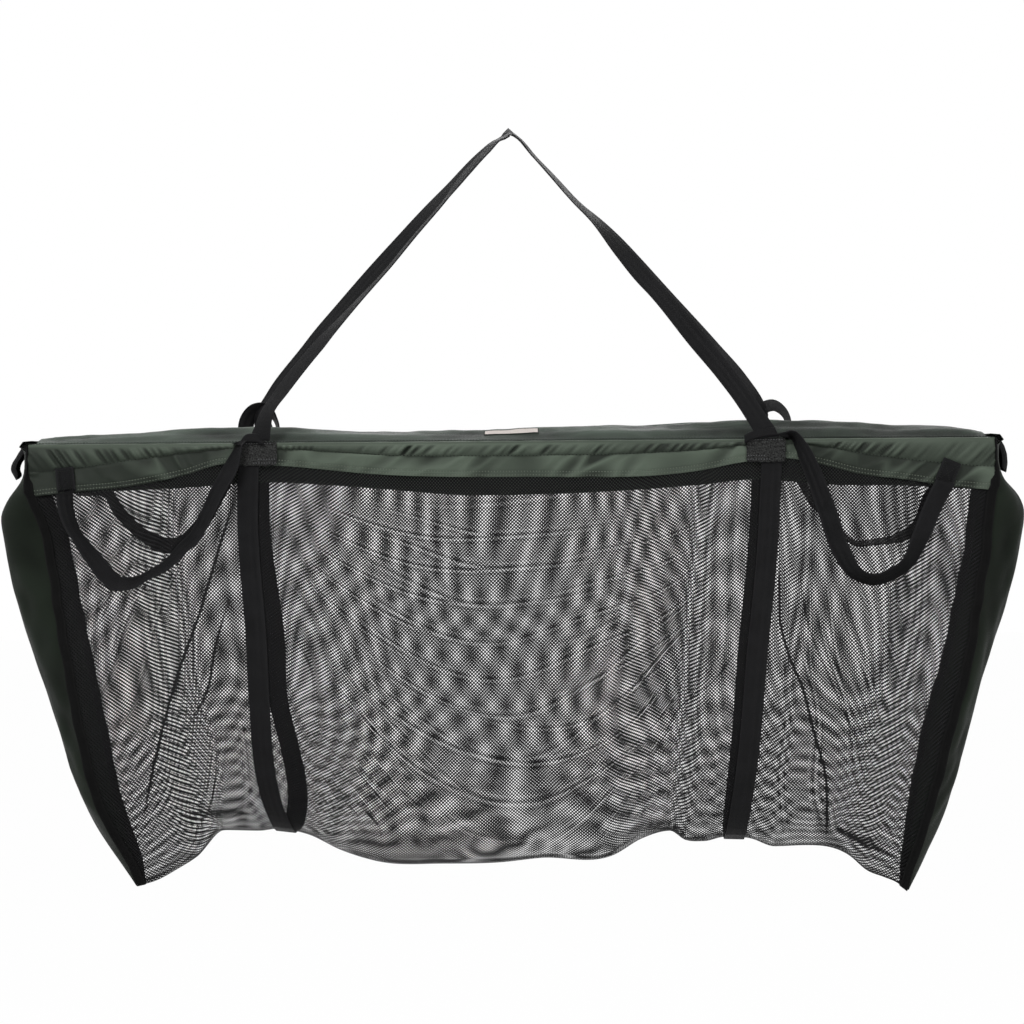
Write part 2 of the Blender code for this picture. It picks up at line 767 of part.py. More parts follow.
def build_patches():
    half = PATCH_WIDTH / 2
    for label, sign in (("left", -1), ("right", 1)):
        for end, side in (("front", -1), ("rear", 1)):
            near, far = sorted((side * (PATCH_FACE - PATCH_THICK), side * PATCH_FACE))
            box(
                f"patch_{end}_{label}",
                (sign * PATCH_X - half, near, at_height(PATCH_TOP + PATCH_HEIGHT)),
                (sign * PATCH_X + half, far, at_height(PATCH_TOP)),
                "patch",
            )


def curve_points(points, count):
    """Evenly spaced points on a smooth curve through a few."""
    points = np.array(points, float)
    chord = np.concatenate([[0], np.cumsum(np.linalg.norm(np.diff(points, axis=0), axis=1))])
    fine = np.linspace(0, chord[-1], 20 * count)
    line = np.array(
        [[through(list(zip(chord, points[:, k])), s) for k in range(points.shape[1])] for s in fine]
    )
    run = np.concatenate([[0], np.cumsum(np.linalg.norm(np.diff(line[:, :3], axis=0), axis=1))])
    even = np.linspace(0, run[-1], count)
    return np.stack([np.interp(even, run, line[:, k]) for k in range(line.shape[1])], axis=1)


def ribbon(name, centre, across, width, thickness, look, origin):
    """Webbing along a line, its width lying along the direction given for each point."""
    rows = []
    for p, a in zip(centre, across):
        a = Vector(a).normalized() * (width / 2)
        rows.append([Vector(p) - a, Vector(p) + a])
    return sheet(name, rows, thickness, look, origin)


# One half of a main handle from the hook to its foot, as shares of the foot's distance and drop.
MAIN_ROUTE = (
    (0.046, 0.012),
    (0.13, 0.076),
    (0.5, 0.41),
    (0.762, 0.685),
    (0.937, 0.887),
    (0.997, 0.95),
    (1.0, 1.0),
)


def build_main_handles():
    """Long loops. Each foot faces the front or rear, and the webbing turns flat on the hook."""
    route = [(APEX_FLAT, 0.0)] + [(x * HANDLE_FOOT_X, z * FOOT_Z) for x, z in MAIN_ROUTE]
    line = curve_points(route, 20)
    drops = [min(z / FOOT_Z, 1) for _, z in line]
    for label, side in (("front", -1), ("rear", 1)):
        centre = [
            Vector((x, side * (HANDLE_SEAT_Y + (FOOT_Y - HANDLE_SEAT_Y) * d), z + WEB / 2 * (1 - d)))
            for (x, z), d in zip(line, drops)
        ]
        across = []
        for flat, drop in zip(flat_directions(centre), drops):
            share = min(max((drop - TURN_FROM) / (TURN_TO - TURN_FROM), 0), 1)
            turn = math.pi / 2 * share
            across.append(Vector((0, 1, 0)) * math.cos(turn) + flat * math.sin(turn))
        # The foot lies on its hinge line.
        across[-1] = Vector((1, 0, 0))
        left = [Vector((-p.x, p.y, p.z)) for p in reversed(centre)]
        left_across = [Vector((-a.x, a.y, a.z)) for a in reversed(across)]
        name = "main_handle_" + label
        hinge = (0, side * FOOT_Y, FOOT_Z)
        ribbon(name, left + centre, left_across + across, STRAP_WIDTH, WEB, "webbing", hinge)


def flat_directions(centre):
    """At each point of a line, the direction square to it that has no depth."""
    found = []
    for i in range(len(centre)):
        ahead = centre[min(i + 1, len(centre) - 1)] - centre[max(i - 1, 0)]
        found.append(Vector((-ahead.z, 0, ahead.x)).normalized())
    return found


# How each side handle hangs: shares of the longest loop's drop below the crease, at shares of the
# way from the inner foot to the sewn outer end. Each was creased in its own way.
SIDE_HANGS = {
    "front_left": ((0.13, 0.38), (0.37, 0.82), (0.61, 0.99), (0.85, 0.84), (0.94, 0.64)),
    "front_right": ((0.19, 0.41), (0.26, 0.8), (0.5, 1.01), (0.69, 0.92), (0.92, 0.46)),
    "rear_left": ((0.07, 0.42), (0.21, 0.62), (0.39, 0.75), (0.59, 0.71), (0.79, 0.56)),
    "rear_right": ((0.1, 0.45), (0.27, 0.64), (0.48, 0.77), (0.68, 0.72), (0.84, 0.58)),
}


def side_hinge(end, sign):
    """The two ends of a side handle's hinge line, inner then outer."""
    side = -1 if end == "front" else 1
    foot_x = SIDE_FOOT_X if end == "front" else REAR_SIDE_FOOT_X
    outer_depth = hem(SEWN_END_X, -1) + WEB
    inner = Vector((sign * foot_x, side * FOOT_Y, FOOT_Z))
    outer = Vector((sign * SEWN_END_X, side * FOOT_Y, at_height(outer_depth)))
    return inner, outer


def build_side_handles():
    for key, hang in SIDE_HANGS.items():
        end, label = key.split("_")
        sign = -1 if label == "left" else 1
        side = -1 if end == "front" else 1
        inner, outer = side_hinge(end, sign)
        points = [inner]
        for share, drop in hang:
            # The lowest part of the loop stands out the farthest.
            y = side * (FOOT_Y + SIDE_HANDLE_OUT * drop)
            x = inner.x + (outer.x - inner.x) * share
            points.append(Vector((x, y, at_height(SIDE_HANDLE_DROP * drop))))
        points.append(outer)
        centre = [Vector(p) for p in curve_points(points, 20)]
        across = []
        for i, flat in enumerate(flat_directions(centre)):
            # Half-way round, the webbing turns a little towards the hand.
            turn = SIDE_HANDLE_TURN * math.sin(math.pi * i / (len(centre) - 1))
            across.append(flat * math.cos(turn) + Vector((0, side, 0)) * math.sin(turn))
        # Both ends are cut along the hinge line, so that they turn on it.
        for i, beside in ((0, 1), (-1, -2)):
            hinge = outer - inner
            across[i] = hinge if hinge.dot(across[beside]) > 0 else -hinge
        name = "side_handle_" + key
        ribbon(name, centre, across, SIDE_HANDLE_WIDTH, WEB, "webbing", inner)
        build_sewn_end(key, side, outer)


def build_sewn_end(key, side, outer):
    """The flat outer end of a side handle, sewn on the band above its hinge."""
    near, far = sorted((side * (BAND_FACE + GAP), side * (BAND_FACE + GAP + 2 * WEB)))
    half = SIDE_HANDLE_WIDTH / 2
    box(
        "sewn_end_" + key,
        (outer.x - half, near, outer.z),
        (outer.x + half, far, at_height(SEWN_END_TOP)),
        "webbing",
    )


def build_rear_bends():
    """Stiff bends of webbing that stand on the rear patches, beside the side handles' feet."""
    y = BAND_FACE + BEND_WIDTH / 2
    base = at_height(PATCH_TOP) + GAP
    leg = PATCH_X + PATCH_WIDTH / 2 - BEND_INSET
    # Shares of the span and of the height.
    shape = ((0, 0), (-0.18, 0.5), (0.06, 0.93), (0.5, 1), (1, 0.75), (1.02, 0.4), (1, 0.03))
    route = [(leg + BEND_SPAN * u, y, base + BEND_HEIGHT * v) for u, v in shape]
    for label, sign in (("left", -1), ("right", 1)):
        centre = [Vector((sign * p[0], p[1], p[2])) for p in curve_points(route, 14)]
        across = [Vector((0, 1, 0))] * len(centre)
        ribbon("rear_bend_" + label, centre, across, BEND_WIDTH, WEB, "webbing", (0, 0, 0))


build_net()
build_rims()
build_gussets()
build_bindings()
build_cradle_straps()
build_roof()
build_zip_ends()
build_patches()
build_main_handles()
build_side_handles()
build_rear_bends()
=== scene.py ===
import math

import bpy
import numpy as np
from mathutils import Matrix, Vector


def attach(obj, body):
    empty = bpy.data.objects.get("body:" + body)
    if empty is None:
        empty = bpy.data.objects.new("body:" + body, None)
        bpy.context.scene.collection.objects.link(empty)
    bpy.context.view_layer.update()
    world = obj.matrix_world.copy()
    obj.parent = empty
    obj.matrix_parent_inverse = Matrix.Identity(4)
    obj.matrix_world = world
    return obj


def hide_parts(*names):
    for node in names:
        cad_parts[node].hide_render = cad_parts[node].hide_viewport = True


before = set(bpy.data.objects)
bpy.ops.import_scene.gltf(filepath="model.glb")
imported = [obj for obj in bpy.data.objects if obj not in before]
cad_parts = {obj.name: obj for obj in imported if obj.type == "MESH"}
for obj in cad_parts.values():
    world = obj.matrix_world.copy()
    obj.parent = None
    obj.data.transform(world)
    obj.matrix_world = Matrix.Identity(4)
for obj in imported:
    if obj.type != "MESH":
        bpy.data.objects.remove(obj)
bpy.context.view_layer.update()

# The view: the bag hangs level in front of the camera, which stands three metres away at the height of
# the side handles and leans by less than half a degree.
FRONT_PLANE_Y = -0.055
VIEW_DISTANCE = 3.0
VIEW_HALF_WIDTH = 0.6144
VIEW_HEIGHT = -0.454
VIEW_LEAN = math.radians(0.45)
lens = bpy.data.cameras.new("camera")
lens.angle = 2 * math.atan(VIEW_HALF_WIDTH / VIEW_DISTANCE)
lens.clip_end = 60
camera = bpy.data.objects.new("camera", lens)
camera.matrix_world = (
    Matrix.Translation((0, FRONT_PLANE_Y - VIEW_DISTANCE, VIEW_HEIGHT))
    @ Matrix.Rotation(math.pi / 2, 4, "X")
    @ Matrix.Rotation(-VIEW_LEAN, 4, "Z")
)
bpy.context.collection.objects.link(camera)
bpy.context.scene.camera = camera
bpy.context.scene.view_settings.view_transform = "Standard"


# The stage: a pale floor well below the hanging bag, an even white surround and three broad soft lamps.
FLOOR_Z = -1.6
FLOOR_HALF = 20
# What the eye sees of the floor is nearly all white, while its light on the bag is that of pale paint.
WHITE_SHARE = 0.985
SURROUND_LIGHT = 0.3
LAMPS = (
    ("key", (-1.4, -2.6, 2.4), 1.2, 120),
    ("fill", (2.4, -2.6, 0.6), 1.8, 34),
    ("back", (0.2, 2.4, 1.6), 2.0, 34),
)
LAMPS_AIM = Vector((0, 0, -0.5))


def feed(tree, socket, value):
    """Gives an input its value, or links it to the socket that its value comes from."""
    if isinstance(value, bpy.types.NodeSocket):
        tree.links.new(value, socket)
    else:
        socket.default_value = value


def put(tree, kind, settings=None, **inputs):
    """Adds a node with its settings and its inputs. An underscore stands for a space in an input's name."""
    node = tree.nodes.new(kind)
    for label, value in (settings or {}).items():
        setattr(node, label, value)
    for label, value in inputs.items():
        feed(tree, node.inputs[label.replace("_", " ")], value)
    return node


def calc(tree, operation, first, second=None, clamp=False):
    """One step of arithmetic in a node tree, on sockets or numbers."""
    node = put(tree, "ShaderNodeMath", {"operation": operation, "use_clamp": clamp})
    feed(tree, node.inputs[0], first)
    if second is not None:
        feed(tree, node.inputs[1], second)
    return node.outputs[0]


def spread(tree, value, low, high, first=0.0, last=1.0, kind="LINEAR"):
    """Maps a value from one range to another."""
    node = put(
        tree, "ShaderNodeMapRange", {"interpolation_type": kind},
        Value=value, From_Min=low, From_Max=high, To_Min=first, To_Max=last,
    )
    return node.outputs["Result"]


def new_material(name, colour, roughness, shine=0.5):
    material = bpy.data.materials.new(name)
    material.use_nodes = True
    shader = material.node_tree.nodes["Principled BSDF"]
    shader.inputs["Base Color"].default_value = (*colour, 1)
    shader.inputs["Roughness"].default_value = roughness
    shader.inputs["Specular IOR Level"].default_value = shine
    return material, material.node_tree, shader


def seen_directly(tree):
    """1 where a ray comes straight from the camera or off something glossy or clear."""
    rays = put(tree, "ShaderNodeLightPath").outputs
    seen = calc(tree, "MAXIMUM", rays["Is Camera Ray"], rays["Is Glossy Ray"])
    return calc(tree, "MAXIMUM", seen, rays["Is Transmission Ray"])


def build_stage():
    corners = [(FLOOR_HALF * u, FLOOR_HALF * v, FLOOR_Z) for u, v in ((-1, -1), (1, -1), (1, 1), (-1, 1))]
    mesh = bpy.data.meshes.new("floor")
    mesh.from_pydata(corners, [], [(0, 1, 2, 3)])
    floor = bpy.data.objects.new("floor", mesh)
    bpy.context.collection.objects.link(floor)
    paint, tree, shader = new_material("pale_floor", (0.86, 0.86, 0.86), 0.95)
    white = put(tree, "ShaderNodeEmission")
    both = put(tree, "ShaderNodeMixShader")
    share = calc(tree, "MULTIPLY", seen_directly(tree), WHITE_SHARE)
    for socket, source in zip(both.inputs, (share, shader.outputs[0], white.outputs[0])):
        feed(tree, socket, source)
    feed(tree, tree.nodes["Material Output"].inputs["Surface"], both.outputs[0])
    mesh.materials.append(paint)

    world = bpy.data.worlds.new("surround")
    bpy.context.scene.world = world
    world.use_nodes = True
    tree = world.node_tree
    background = tree.nodes["Background"]
    background.inputs["Color"].default_value = (1, 1, 1, 1)
    feed(tree, background.inputs["Strength"], spread(tree, seen_directly(tree), 0, 1, SURROUND_LIGHT))

    for name, place, size, power in LAMPS:
        lamp = bpy.data.lights.new(name, "AREA")
        lamp.size = size
        lamp.energy = power
        holder = bpy.data.objects.new(name, lamp)
        holder.location = place
        holder.rotation_euler = (LAMPS_AIM - Vector(place)).to_track_quat("-Z", "Y").to_euler()
        bpy.context.collection.objects.link(holder)


build_stage()


# The net: one cut of fine black knitted polyester that hangs from the front hem, goes round the belly and
# comes up to the rear hem. Its weight pulls it into swags between the two straps and into rays beside them.
# Outlines are given in millimetres, as a distance from the middle and a depth below the crease, where the
# roof meets the rim.
HANG = 0.369
ENDS = (("front", -1), ("rear", 1))
HALVES = (("left", -1), ("right", 1))
HEM = {
    -1: [
        (-600, 65), (-527, 57), (-468, 52), (-393, 38), (-343, 25), (-286, 27), (-158, 39), (10, 43),
        (226, 37), (280, 27), (326, 23), (372, 31), (419, 43), (467, 49), (527, 58), (600, 65),
    ],
    1: [
        (-600, 62), (-547, 58), (-413, 52), (-301, 46), (-226, 50), (-164, 55), (-40, 64), (110, 61),
        (234, 53), (303, 47), (393, 54), (487, 56), (600, 62),
    ],
}
# The bag's lowest line, with its tips below the ends and its swag between the straps.
BAG_BOTTOM = [
    (-470, 540), (-436, 531), (-412, 518), (-388, 503), (-354, 471), (-311, 472), (-292, 470),
    (-252, 477), (-213, 496), (-165, 511), (-91, 514), (-18, 513), (31, 508), (121, 505),
    (156, 485), (190, 476), (208, 487), (231, 489), (257, 484), (288, 486), (318, 496), (355, 495),
    (409, 508), (430, 526), (452, 535), (466, 541), (480, 552),
]
# Half length of the bag where net and gusset are sewn together. The right end hangs a little wider.
SEAM = {
    -1: [
        (0, 580), (60, 580), (96, 566), (190, 548), (251, 537), (377, 513), (431, 500), (500, 471),
        (560, 452),
    ],
    1: [
        (0, 580), (62, 580), (98, 575), (130, 572), (205, 558), (285, 542), (325, 530), (404, 510),
        (484, 491), (552, 477),
    ],
}
# Distance of a cradle strap from the middle, by side (front -1) and half (left -1).
STRAP_LINES = {
    (-1, -1): [(0, 314), (85, 317), (236, 306), (325, 302), (379, 299), (427, 292), (480, 276)],
    (-1, 1): [(0, 314), (145, 304), (255, 291), (366, 281), (480, 268)],
    (1, -1): [(0, 314), (85, 314), (242, 298), (322, 294), (376, 280), (439, 268), (480, 273)],
    (1, 1): [(0, 314), (147, 305), (262, 294), (378, 284), (480, 268)],
}
# Places across the wall: the middle, the strap's two edges and the seam, as shares of a half.
ACROSS_STOPS = (0, 0.53, 0.575, 1)
STRAP_HALF = 0.0125
RIM_HALF = 0.58
RIM_HALF_DEPTH = 0.054
BELLY_HALF_DEPTH = 0.076
PILLOW = 0.009
BELLY_AT = 0.6


def level(depth):
    """World height of a place so far below the crease where the roof meets the rim."""
    return -HANG - depth


def curve_through(knots, at):
    """Heights of a smooth curve through (place, height) knots in millimetres, level where it turns."""
    places, heights = np.array(knots, float).T / 1000
    slopes = np.gradient(heights, places)
    turns = np.diff(heights[:-1]) * np.diff(heights[1:]) <= 0
    slopes[1:-1][turns] = 0
    at = np.clip(np.asarray(at, float), places[0], places[-1])
    i = np.clip(np.searchsorted(places, at) - 1, 0, len(places) - 2)
    step = places[i + 1] - places[i]
    s = (at - places[i]) / step
    return (
        (1 + 2 * s) * (1 - s) ** 2 * heights[i]
        + s * (1 - s) ** 2 * step * slopes[i]
        + s * s * (3 - 2 * s) * heights[i + 1]
        + s * s * (s - 1) * step * slopes[i + 1]
    )


def ripples(x, y, size, seed, count=14, lean=None):
    """Random crumple of about unit height and the given size, the same on every run."""
    rng = np.random.default_rng(seed)
    total = 0.0
    for _ in range(count):
        angle = rng.uniform(0, 2 * math.pi) if lean is None else rng.normal(lean, 0.35)
        k = 2 * math.pi / (size * rng.uniform(0.7, 1.5))
        total = total + np.cos(k * (x * math.cos(angle) + y * math.sin(angle)) + rng.uniform(0, 6.3))
    return total / math.sqrt(count)


def hump(x, middle, width, power=2):
    """1 in the middle, falling to 0 a width or so away from it."""
    return np.exp(-(((x - middle) / width) ** power))


def rise(x, first, last):
    """0 up to the first place and 1 from the last one."""
    return np.clip((x - first) / (last - first), 0, 1)


def hem(x, side):
    """Depth of the rim's lower edge, front (-1) or rear (1)."""
    return curve_through(HEM[side], x)


def seam(depth, half):
    return np.where(np.asarray(half) > 0, curve_through(SEAM[1], depth), curve_through(SEAM[-1], depth))


def strap_line(depth, side, half):
    return curve_through(STRAP_LINES[(side, half)], depth)


def nearer_strap(x, depth, side):
    """Distance from the middle of the strap that is on the same half as each place."""
    return np.where(x < 0, strap_line(depth, side, -1), strap_line(depth, side, 1))


def across_to_x(across, depth, side):
    x = np.zeros_like(across)
    for half in (-1, 1):
        strap, edge = strap_line(depth, side, half), seam(depth, half)
        t = np.abs(across)
        a, b, c = ACROSS_STOPS[1:]
        inside = t / a * (strap - STRAP_HALF)
        on_strap = strap - STRAP_HALF + (t - a) / (b - a) * 2 * STRAP_HALF
        outside = strap + STRAP_HALF + (t - b) / (c - b) * (edge - strap - STRAP_HALF)
        place = np.where(t < a, inside, np.where(t < b, on_strap, outside))
        x = np.where(across * half > 0, half * place, x)
    return x


def wall_base(across, share, side):
    """Points of the smooth wall, by share from 0 at the hem to 1 at the bottom. Below 0 is inside the hem."""
    depth = np.full_like(across, 0.48)
    for _ in range(8):
        depth = curve_through(BAG_BOTTOM, across_to_x(across, depth, side))
    start = hem(across_to_x(across, np.full_like(across, 0.05), side), side)
    depth = start + (depth - start) * share
    x = across_to_x(across, depth, side)
    t = np.abs(across)
    strap = (ACROSS_STOPS[1] + ACROSS_STOPS[2]) / 2
    pillow = np.where(
        t < strap, np.cos(math.pi / 2 * t / strap) ** 2, np.sin(math.pi * (t - strap) / (1 - strap)) ** 2
    )
    belly = BELLY_HALF_DEPTH + PILLOW * pillow
    s = np.clip(share, 0, 1)
    upper = RIM_HALF_DEPTH + (belly - RIM_HALF_DEPTH) * np.sin(math.pi / 2 * np.minimum(s / BELLY_AT, 1)) ** 2
    down = np.clip((s - BELLY_AT) / (1 - BELLY_AT), 0, 1)
    lower = belly * (1 - down**2) ** (0.5 + 0.5 * t**4)
    y = np.where(s <= BELLY_AT, upper, lower)
    return np.stack([x, side * y, level(depth)], axis=-1)


# Creases by side and half, as (how far each stands out, how dark it is drawn, its line's points).
CREASES = {
    (-1, -1): (
        (2.5, 0.9, [(333, 66), (352, 130), (374, 205), (398, 273), (424, 365), (446, 455)]),
        (2.0, 0.75, [(337, 181), (347, 215), (355, 245), (365, 296), (380, 325), (395, 349)]),
        (1.5, 0.45, [(268, 217), (252, 245), (241, 269), (238, 300), (239, 325)]),
        (1.5, 0.6, [(239, 396), (215, 412), (192, 428), (175, 444), (163, 459), (162, 492)]),
    ),
    (-1, 1): (
        (
            2.5, 0.85,
            [(320, 134), (318, 205), (328, 257), (344, 297), (356, 345), (372, 404), (376, 456), (379, 492)],
        ),
        (1.5, 0.35, [(342, 150), (354, 229), (376, 285), (402, 348), (420, 400)]),
        (1.5, 0.4, [(277, 233), (257, 265), (233, 293), (209, 309), (177, 357), (153, 400)]),
        (1.0, 0.5, [(262, 412), (240, 436), (217, 464)]),
    ),
}
# Flat folds near the bottom as (first x, first depth, last x, last depth, greatest half width).
DARK_FOLDS = {-1: ((-400, 446, -318, 444, 9), (362, 458, 458, 504, 8)), 1: ()}
NOTCH_X = 0.19
MAIN_SWAGS = 3
MAIN_FOLD_HEIGHT = 0.006
SWAG_PITCH, FINE_SWAG_PITCH = 0.047, 0.0185
RAYS, FINE_RAYS = 62, 150
SWAG_HEIGHT, FINE_SWAG_HEIGHT = 0.0016, 0.0008
RAY_HEIGHT, FINE_RAY_HEIGHT = 0.0018, 0.0007
CORNER_CRUMPLE = 0.0013
CREASE_WIDTH = 0.007


def dark_folds(x, depth, share, side):
    """1 where the net lies double: in flat folds, and along its lowest line, most of all at the notch."""
    mask = rise(share, 0.988, 1) * (0.55 + 0.45 * hump(x, NOTCH_X, 0.03))
    mask = np.maximum(mask, rise(share, 0.97, 1) * hump(x, NOTCH_X, 0.022))
    for x0, d0, x1, d1, half in np.array(DARK_FOLDS[side]).reshape(-1, 5) / 1000:
        t = np.clip((x - x0) / (x1 - x0), 0, 1)
        wide = half * np.sin(math.pi * t**1.4) ** 0.8
        mask = np.maximum(mask, np.clip((wide - np.abs(depth - d0 - (d1 - d0) * t)) / 0.005, 0, 1))
    return mask


def main_folds(x, depth, share, side):
    """The broad folds, in metres: three swags between the straps and rays beside them."""
    strap = nearer_strap(x, depth, side)
    fade = np.sin(math.pi * np.clip(share / 0.9, 0, 1)) ** 2
    across = np.clip(np.abs(x) / (strap - STRAP_HALF), 0, 1)
    swag = np.sin(2 * math.pi * MAIN_SWAGS * share / (1 - 0.5 * across**2)) * (1 - across**2)
    width = seam(depth, np.sign(x)) - 0.015 - strap - STRAP_HALF
    past = np.clip((np.abs(x) - strap - STRAP_HALF) / width, 0, 1)
    ray = 0.8 * np.sin(math.pi * past) * np.sin(2 * math.pi * past / (np.clip(share, 0, 1) + 0.25))
    return MAIN_FOLD_HEIGHT * fade * np.where(np.abs(x) < strap, swag, ray)


def fold_height(x, depth, across, share, side):
    """How far the net's folds stand out, in metres, followed by the masks of its creases and lines."""
    strap = nearer_strap(x, depth, side)
    t, s = np.abs(across), np.clip(share, 0, 1)
    a, b = ACROSS_STOPS[1:3]
    seed = 20 if side < 0 else 50
    # Fine swags between the straps, each a shallow bow that starts near the tops of the straps.
    reach = np.clip(np.abs(x) / strap, 0, 1)
    bow = depth / (1 - 0.68 * reach**2)
    drift = ripples(x, depth, 0.26, seed)
    swag = np.sin(2 * math.pi * bow / SWAG_PITCH + 1.8 * drift)
    fine = np.sin(2 * math.pi * bow / FINE_SWAG_PITCH + 2.2 * drift + 1.0)
    strong = np.clip(0.55 + 0.6 * ripples(x, depth, 0.3, seed + 1), 0, 1)
    fade = np.clip(s / 0.1, 0, 1) * np.clip((1 - s) / 0.1, 0, 1)
    centre = (SWAG_HEIGHT * swag + FINE_SWAG_HEIGHT * fine) * strong * (1 - reach**6)
    # Fine rays beside the straps, which spread from each strap's top towards the low tip.
    ray_x, ray_d = np.abs(x) - strap, depth + 0.03
    angle = np.arctan2(ray_x, ray_d)
    waver = ripples(x, depth, 0.2, seed + 2)
    ray = np.sin(angle * RAYS + 1.2 * waver)
    fine_ray = np.sin(angle * FINE_RAYS + 2.0 * waver)
    past = np.clip((t - b) / (1 - b), 0, 1)
    shape = np.sin(math.pi * past) ** 0.7 * np.clip(ray_d / 0.2, 0, 1)
    side_panel = (RAY_HEIGHT * ray + FINE_RAY_HEIGHT * fine_ray) * strong * shape
    height = np.where(t < a, centre, np.where(t > b, side_panel, 0)) * fade
    # Loose crumples where the net lies in its lowest corners.
    low = np.clip((s - 0.62) / 0.25, 0, 1) * np.clip((1 - s) / 0.06, 0, 1)
    off_strap = np.clip(np.minimum(np.abs(t - a), np.abs(t - b)) / 0.05, 0, 1)
    keep = off_strap * (1 - np.clip((t - 0.93) / 0.07, 0, 1))
    height = height + CORNER_CRUMPLE * low * keep * ripples(x, depth, 0.05, seed + 3)
    distance, strength = np.ones_like(x), np.zeros_like(x)
    for half in (-1, 1):
        for stands_out, dark, line in CREASES.get((side, half), ()):
            off = np.abs(x) - curve_through([(d, w) for w, d in line], depth)
            top, low_end = line[0][1] / 1000, line[-1][1] / 1000
            inside = (depth > top) & (depth < low_end) & ((x < 0) == (half < 0))
            ends = np.clip((depth - top) / 0.05, 0, 1) * np.clip((low_end - depth) / 0.05, 0, 1)
            crease = stands_out / 1000 * hump(off, 0, CREASE_WIDTH) * ends
            height = height + np.where(inside, crease, 0)
            near = inside & (np.abs(off) < np.abs(distance))
            distance = np.where(near, off, distance)
            strength = np.where(near, ends * dark * np.clip(2 - np.abs(off) / 0.006, 0, 1), strength)
    # The lines along which the threads draw together: a count that passes a whole number on each line.
    swag_count = bow / SWAG_PITCH + 0.286 * drift
    ray_count = (angle * RAYS + 1.2 * waver) / (2 * math.pi)
    count = np.where(t < a, swag_count, ray_count) + 0.25
    drawn = np.where(t < a, 1 - reach**8, np.where(t > b, shape, 0)) * fade
    drawn = drawn * np.clip(strong * 1.3 - 0.15, 0, 1)
    folds = height + main_folds(x, depth, share, side)
    return folds, np.clip(distance / 0.03, -1, 1), strength, count, drawn, dark_folds(x, depth, s, side)


def surface_normals(points, sign=1):
    """Unit normals of a grid of points, one for each point."""
    return unit_rows(np.cross(np.gradient(points, axis=0), np.gradient(points, axis=1)) * sign)


def unit_rows(vectors):
    return vectors / np.maximum(np.linalg.norm(vectors, axis=-1, keepdims=True), 1e-9)


def cloth_mesh(name, points, uv, masks=None, flip=False):
    """A surface of quads through a grid of points, with a UV map in metres and named masks on its points."""
    rows, columns = points.shape[:2]
    index = np.arange(rows * columns).reshape(rows, columns)
    corners = [index[:-1, :-1], index[1:, :-1], index[1:, 1:], index[:-1, 1:]]
    quads = np.stack(corners, axis=-1).reshape(-1, 4)
    if flip:
        quads = quads[:, ::-1]
    mesh = bpy.data.meshes.new(name)
    mesh.from_pydata(points.reshape(-1, 3).tolist(), [], quads.tolist())
    layer = mesh.uv_layers.new(name="UVMap")
    layer.data.foreach_set("uv", uv.reshape(-1, 2)[quads.reshape(-1)].astype(np.float32).reshape(-1))
    for mask, values in (masks or {}).items():
        held = mesh.attributes.new(mask, "FLOAT", "POINT")
        held.data.foreach_set("value", values.reshape(-1).astype(np.float32))
    mesh.shade_smooth()
    obj = bpy.data.objects.new(name, mesh)
    bpy.context.collection.objects.link(obj)
    return obj


def settle(obj):
    """Turns what the modifiers make into the object's own mesh."""
    made = bpy.data.meshes.new_from_object(obj.evaluated_get(bpy.context.evaluated_depsgraph_get()))
    obj.modifiers.clear()
    obj.data = made


def stand_for(obj, body, node):
    """Names the body that a piece rides on and the node that it stands for."""
    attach(obj, body)
    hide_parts(node)


def cloth_piece(name, points, uv, material, body, node, thickness=0.0008, masks=None, flip=False):
    """A piece of cloth with two faces and closed edges, or with one face where its thickness is 0."""
    piece = cloth_mesh(name, points, uv, masks, flip)
    piece.data.materials.append(material)
    if thickness:
        solid = piece.modifiers.new("thickness", "SOLIDIFY")
        solid.thickness = thickness
        solid.offset = 0
        settle(piece)
    stand_for(piece, body, node)
    return piece


def run_length(points):
    """Distance along each column of a grid of points, from its first row."""
    steps = np.linalg.norm(np.diff(points, axis=0), axis=2)
    return np.concatenate([np.zeros((1, points.shape[1])), np.cumsum(steps, axis=0)])


def uv_source(tree):
    return put(tree, "ShaderNodeUVMap", {"uv_map": "UVMap"}).outputs["UV"]


def new_group(name, kind, inputs, outputs):
    """An empty node group with inputs as (name, kind, default) and outputs as (name, kind)."""
    group = bpy.data.node_groups.new(name, kind)
    for label, sort, default in inputs:
        socket = group.interface.new_socket(label, in_out="INPUT", socket_type="NodeSocket" + sort)
        if default is not None:
            socket.default_value = default
    for label, sort in outputs:
        group.interface.new_socket(label, in_out="OUTPUT", socket_type="NodeSocket" + sort)
    return group, put(group, "NodeGroupInput").outputs, put(group, "NodeGroupOutput").inputs


def place_group(tree, group, **inputs):
    return put(tree, "ShaderNodeGroup", {"node_tree": group}, **inputs).outputs


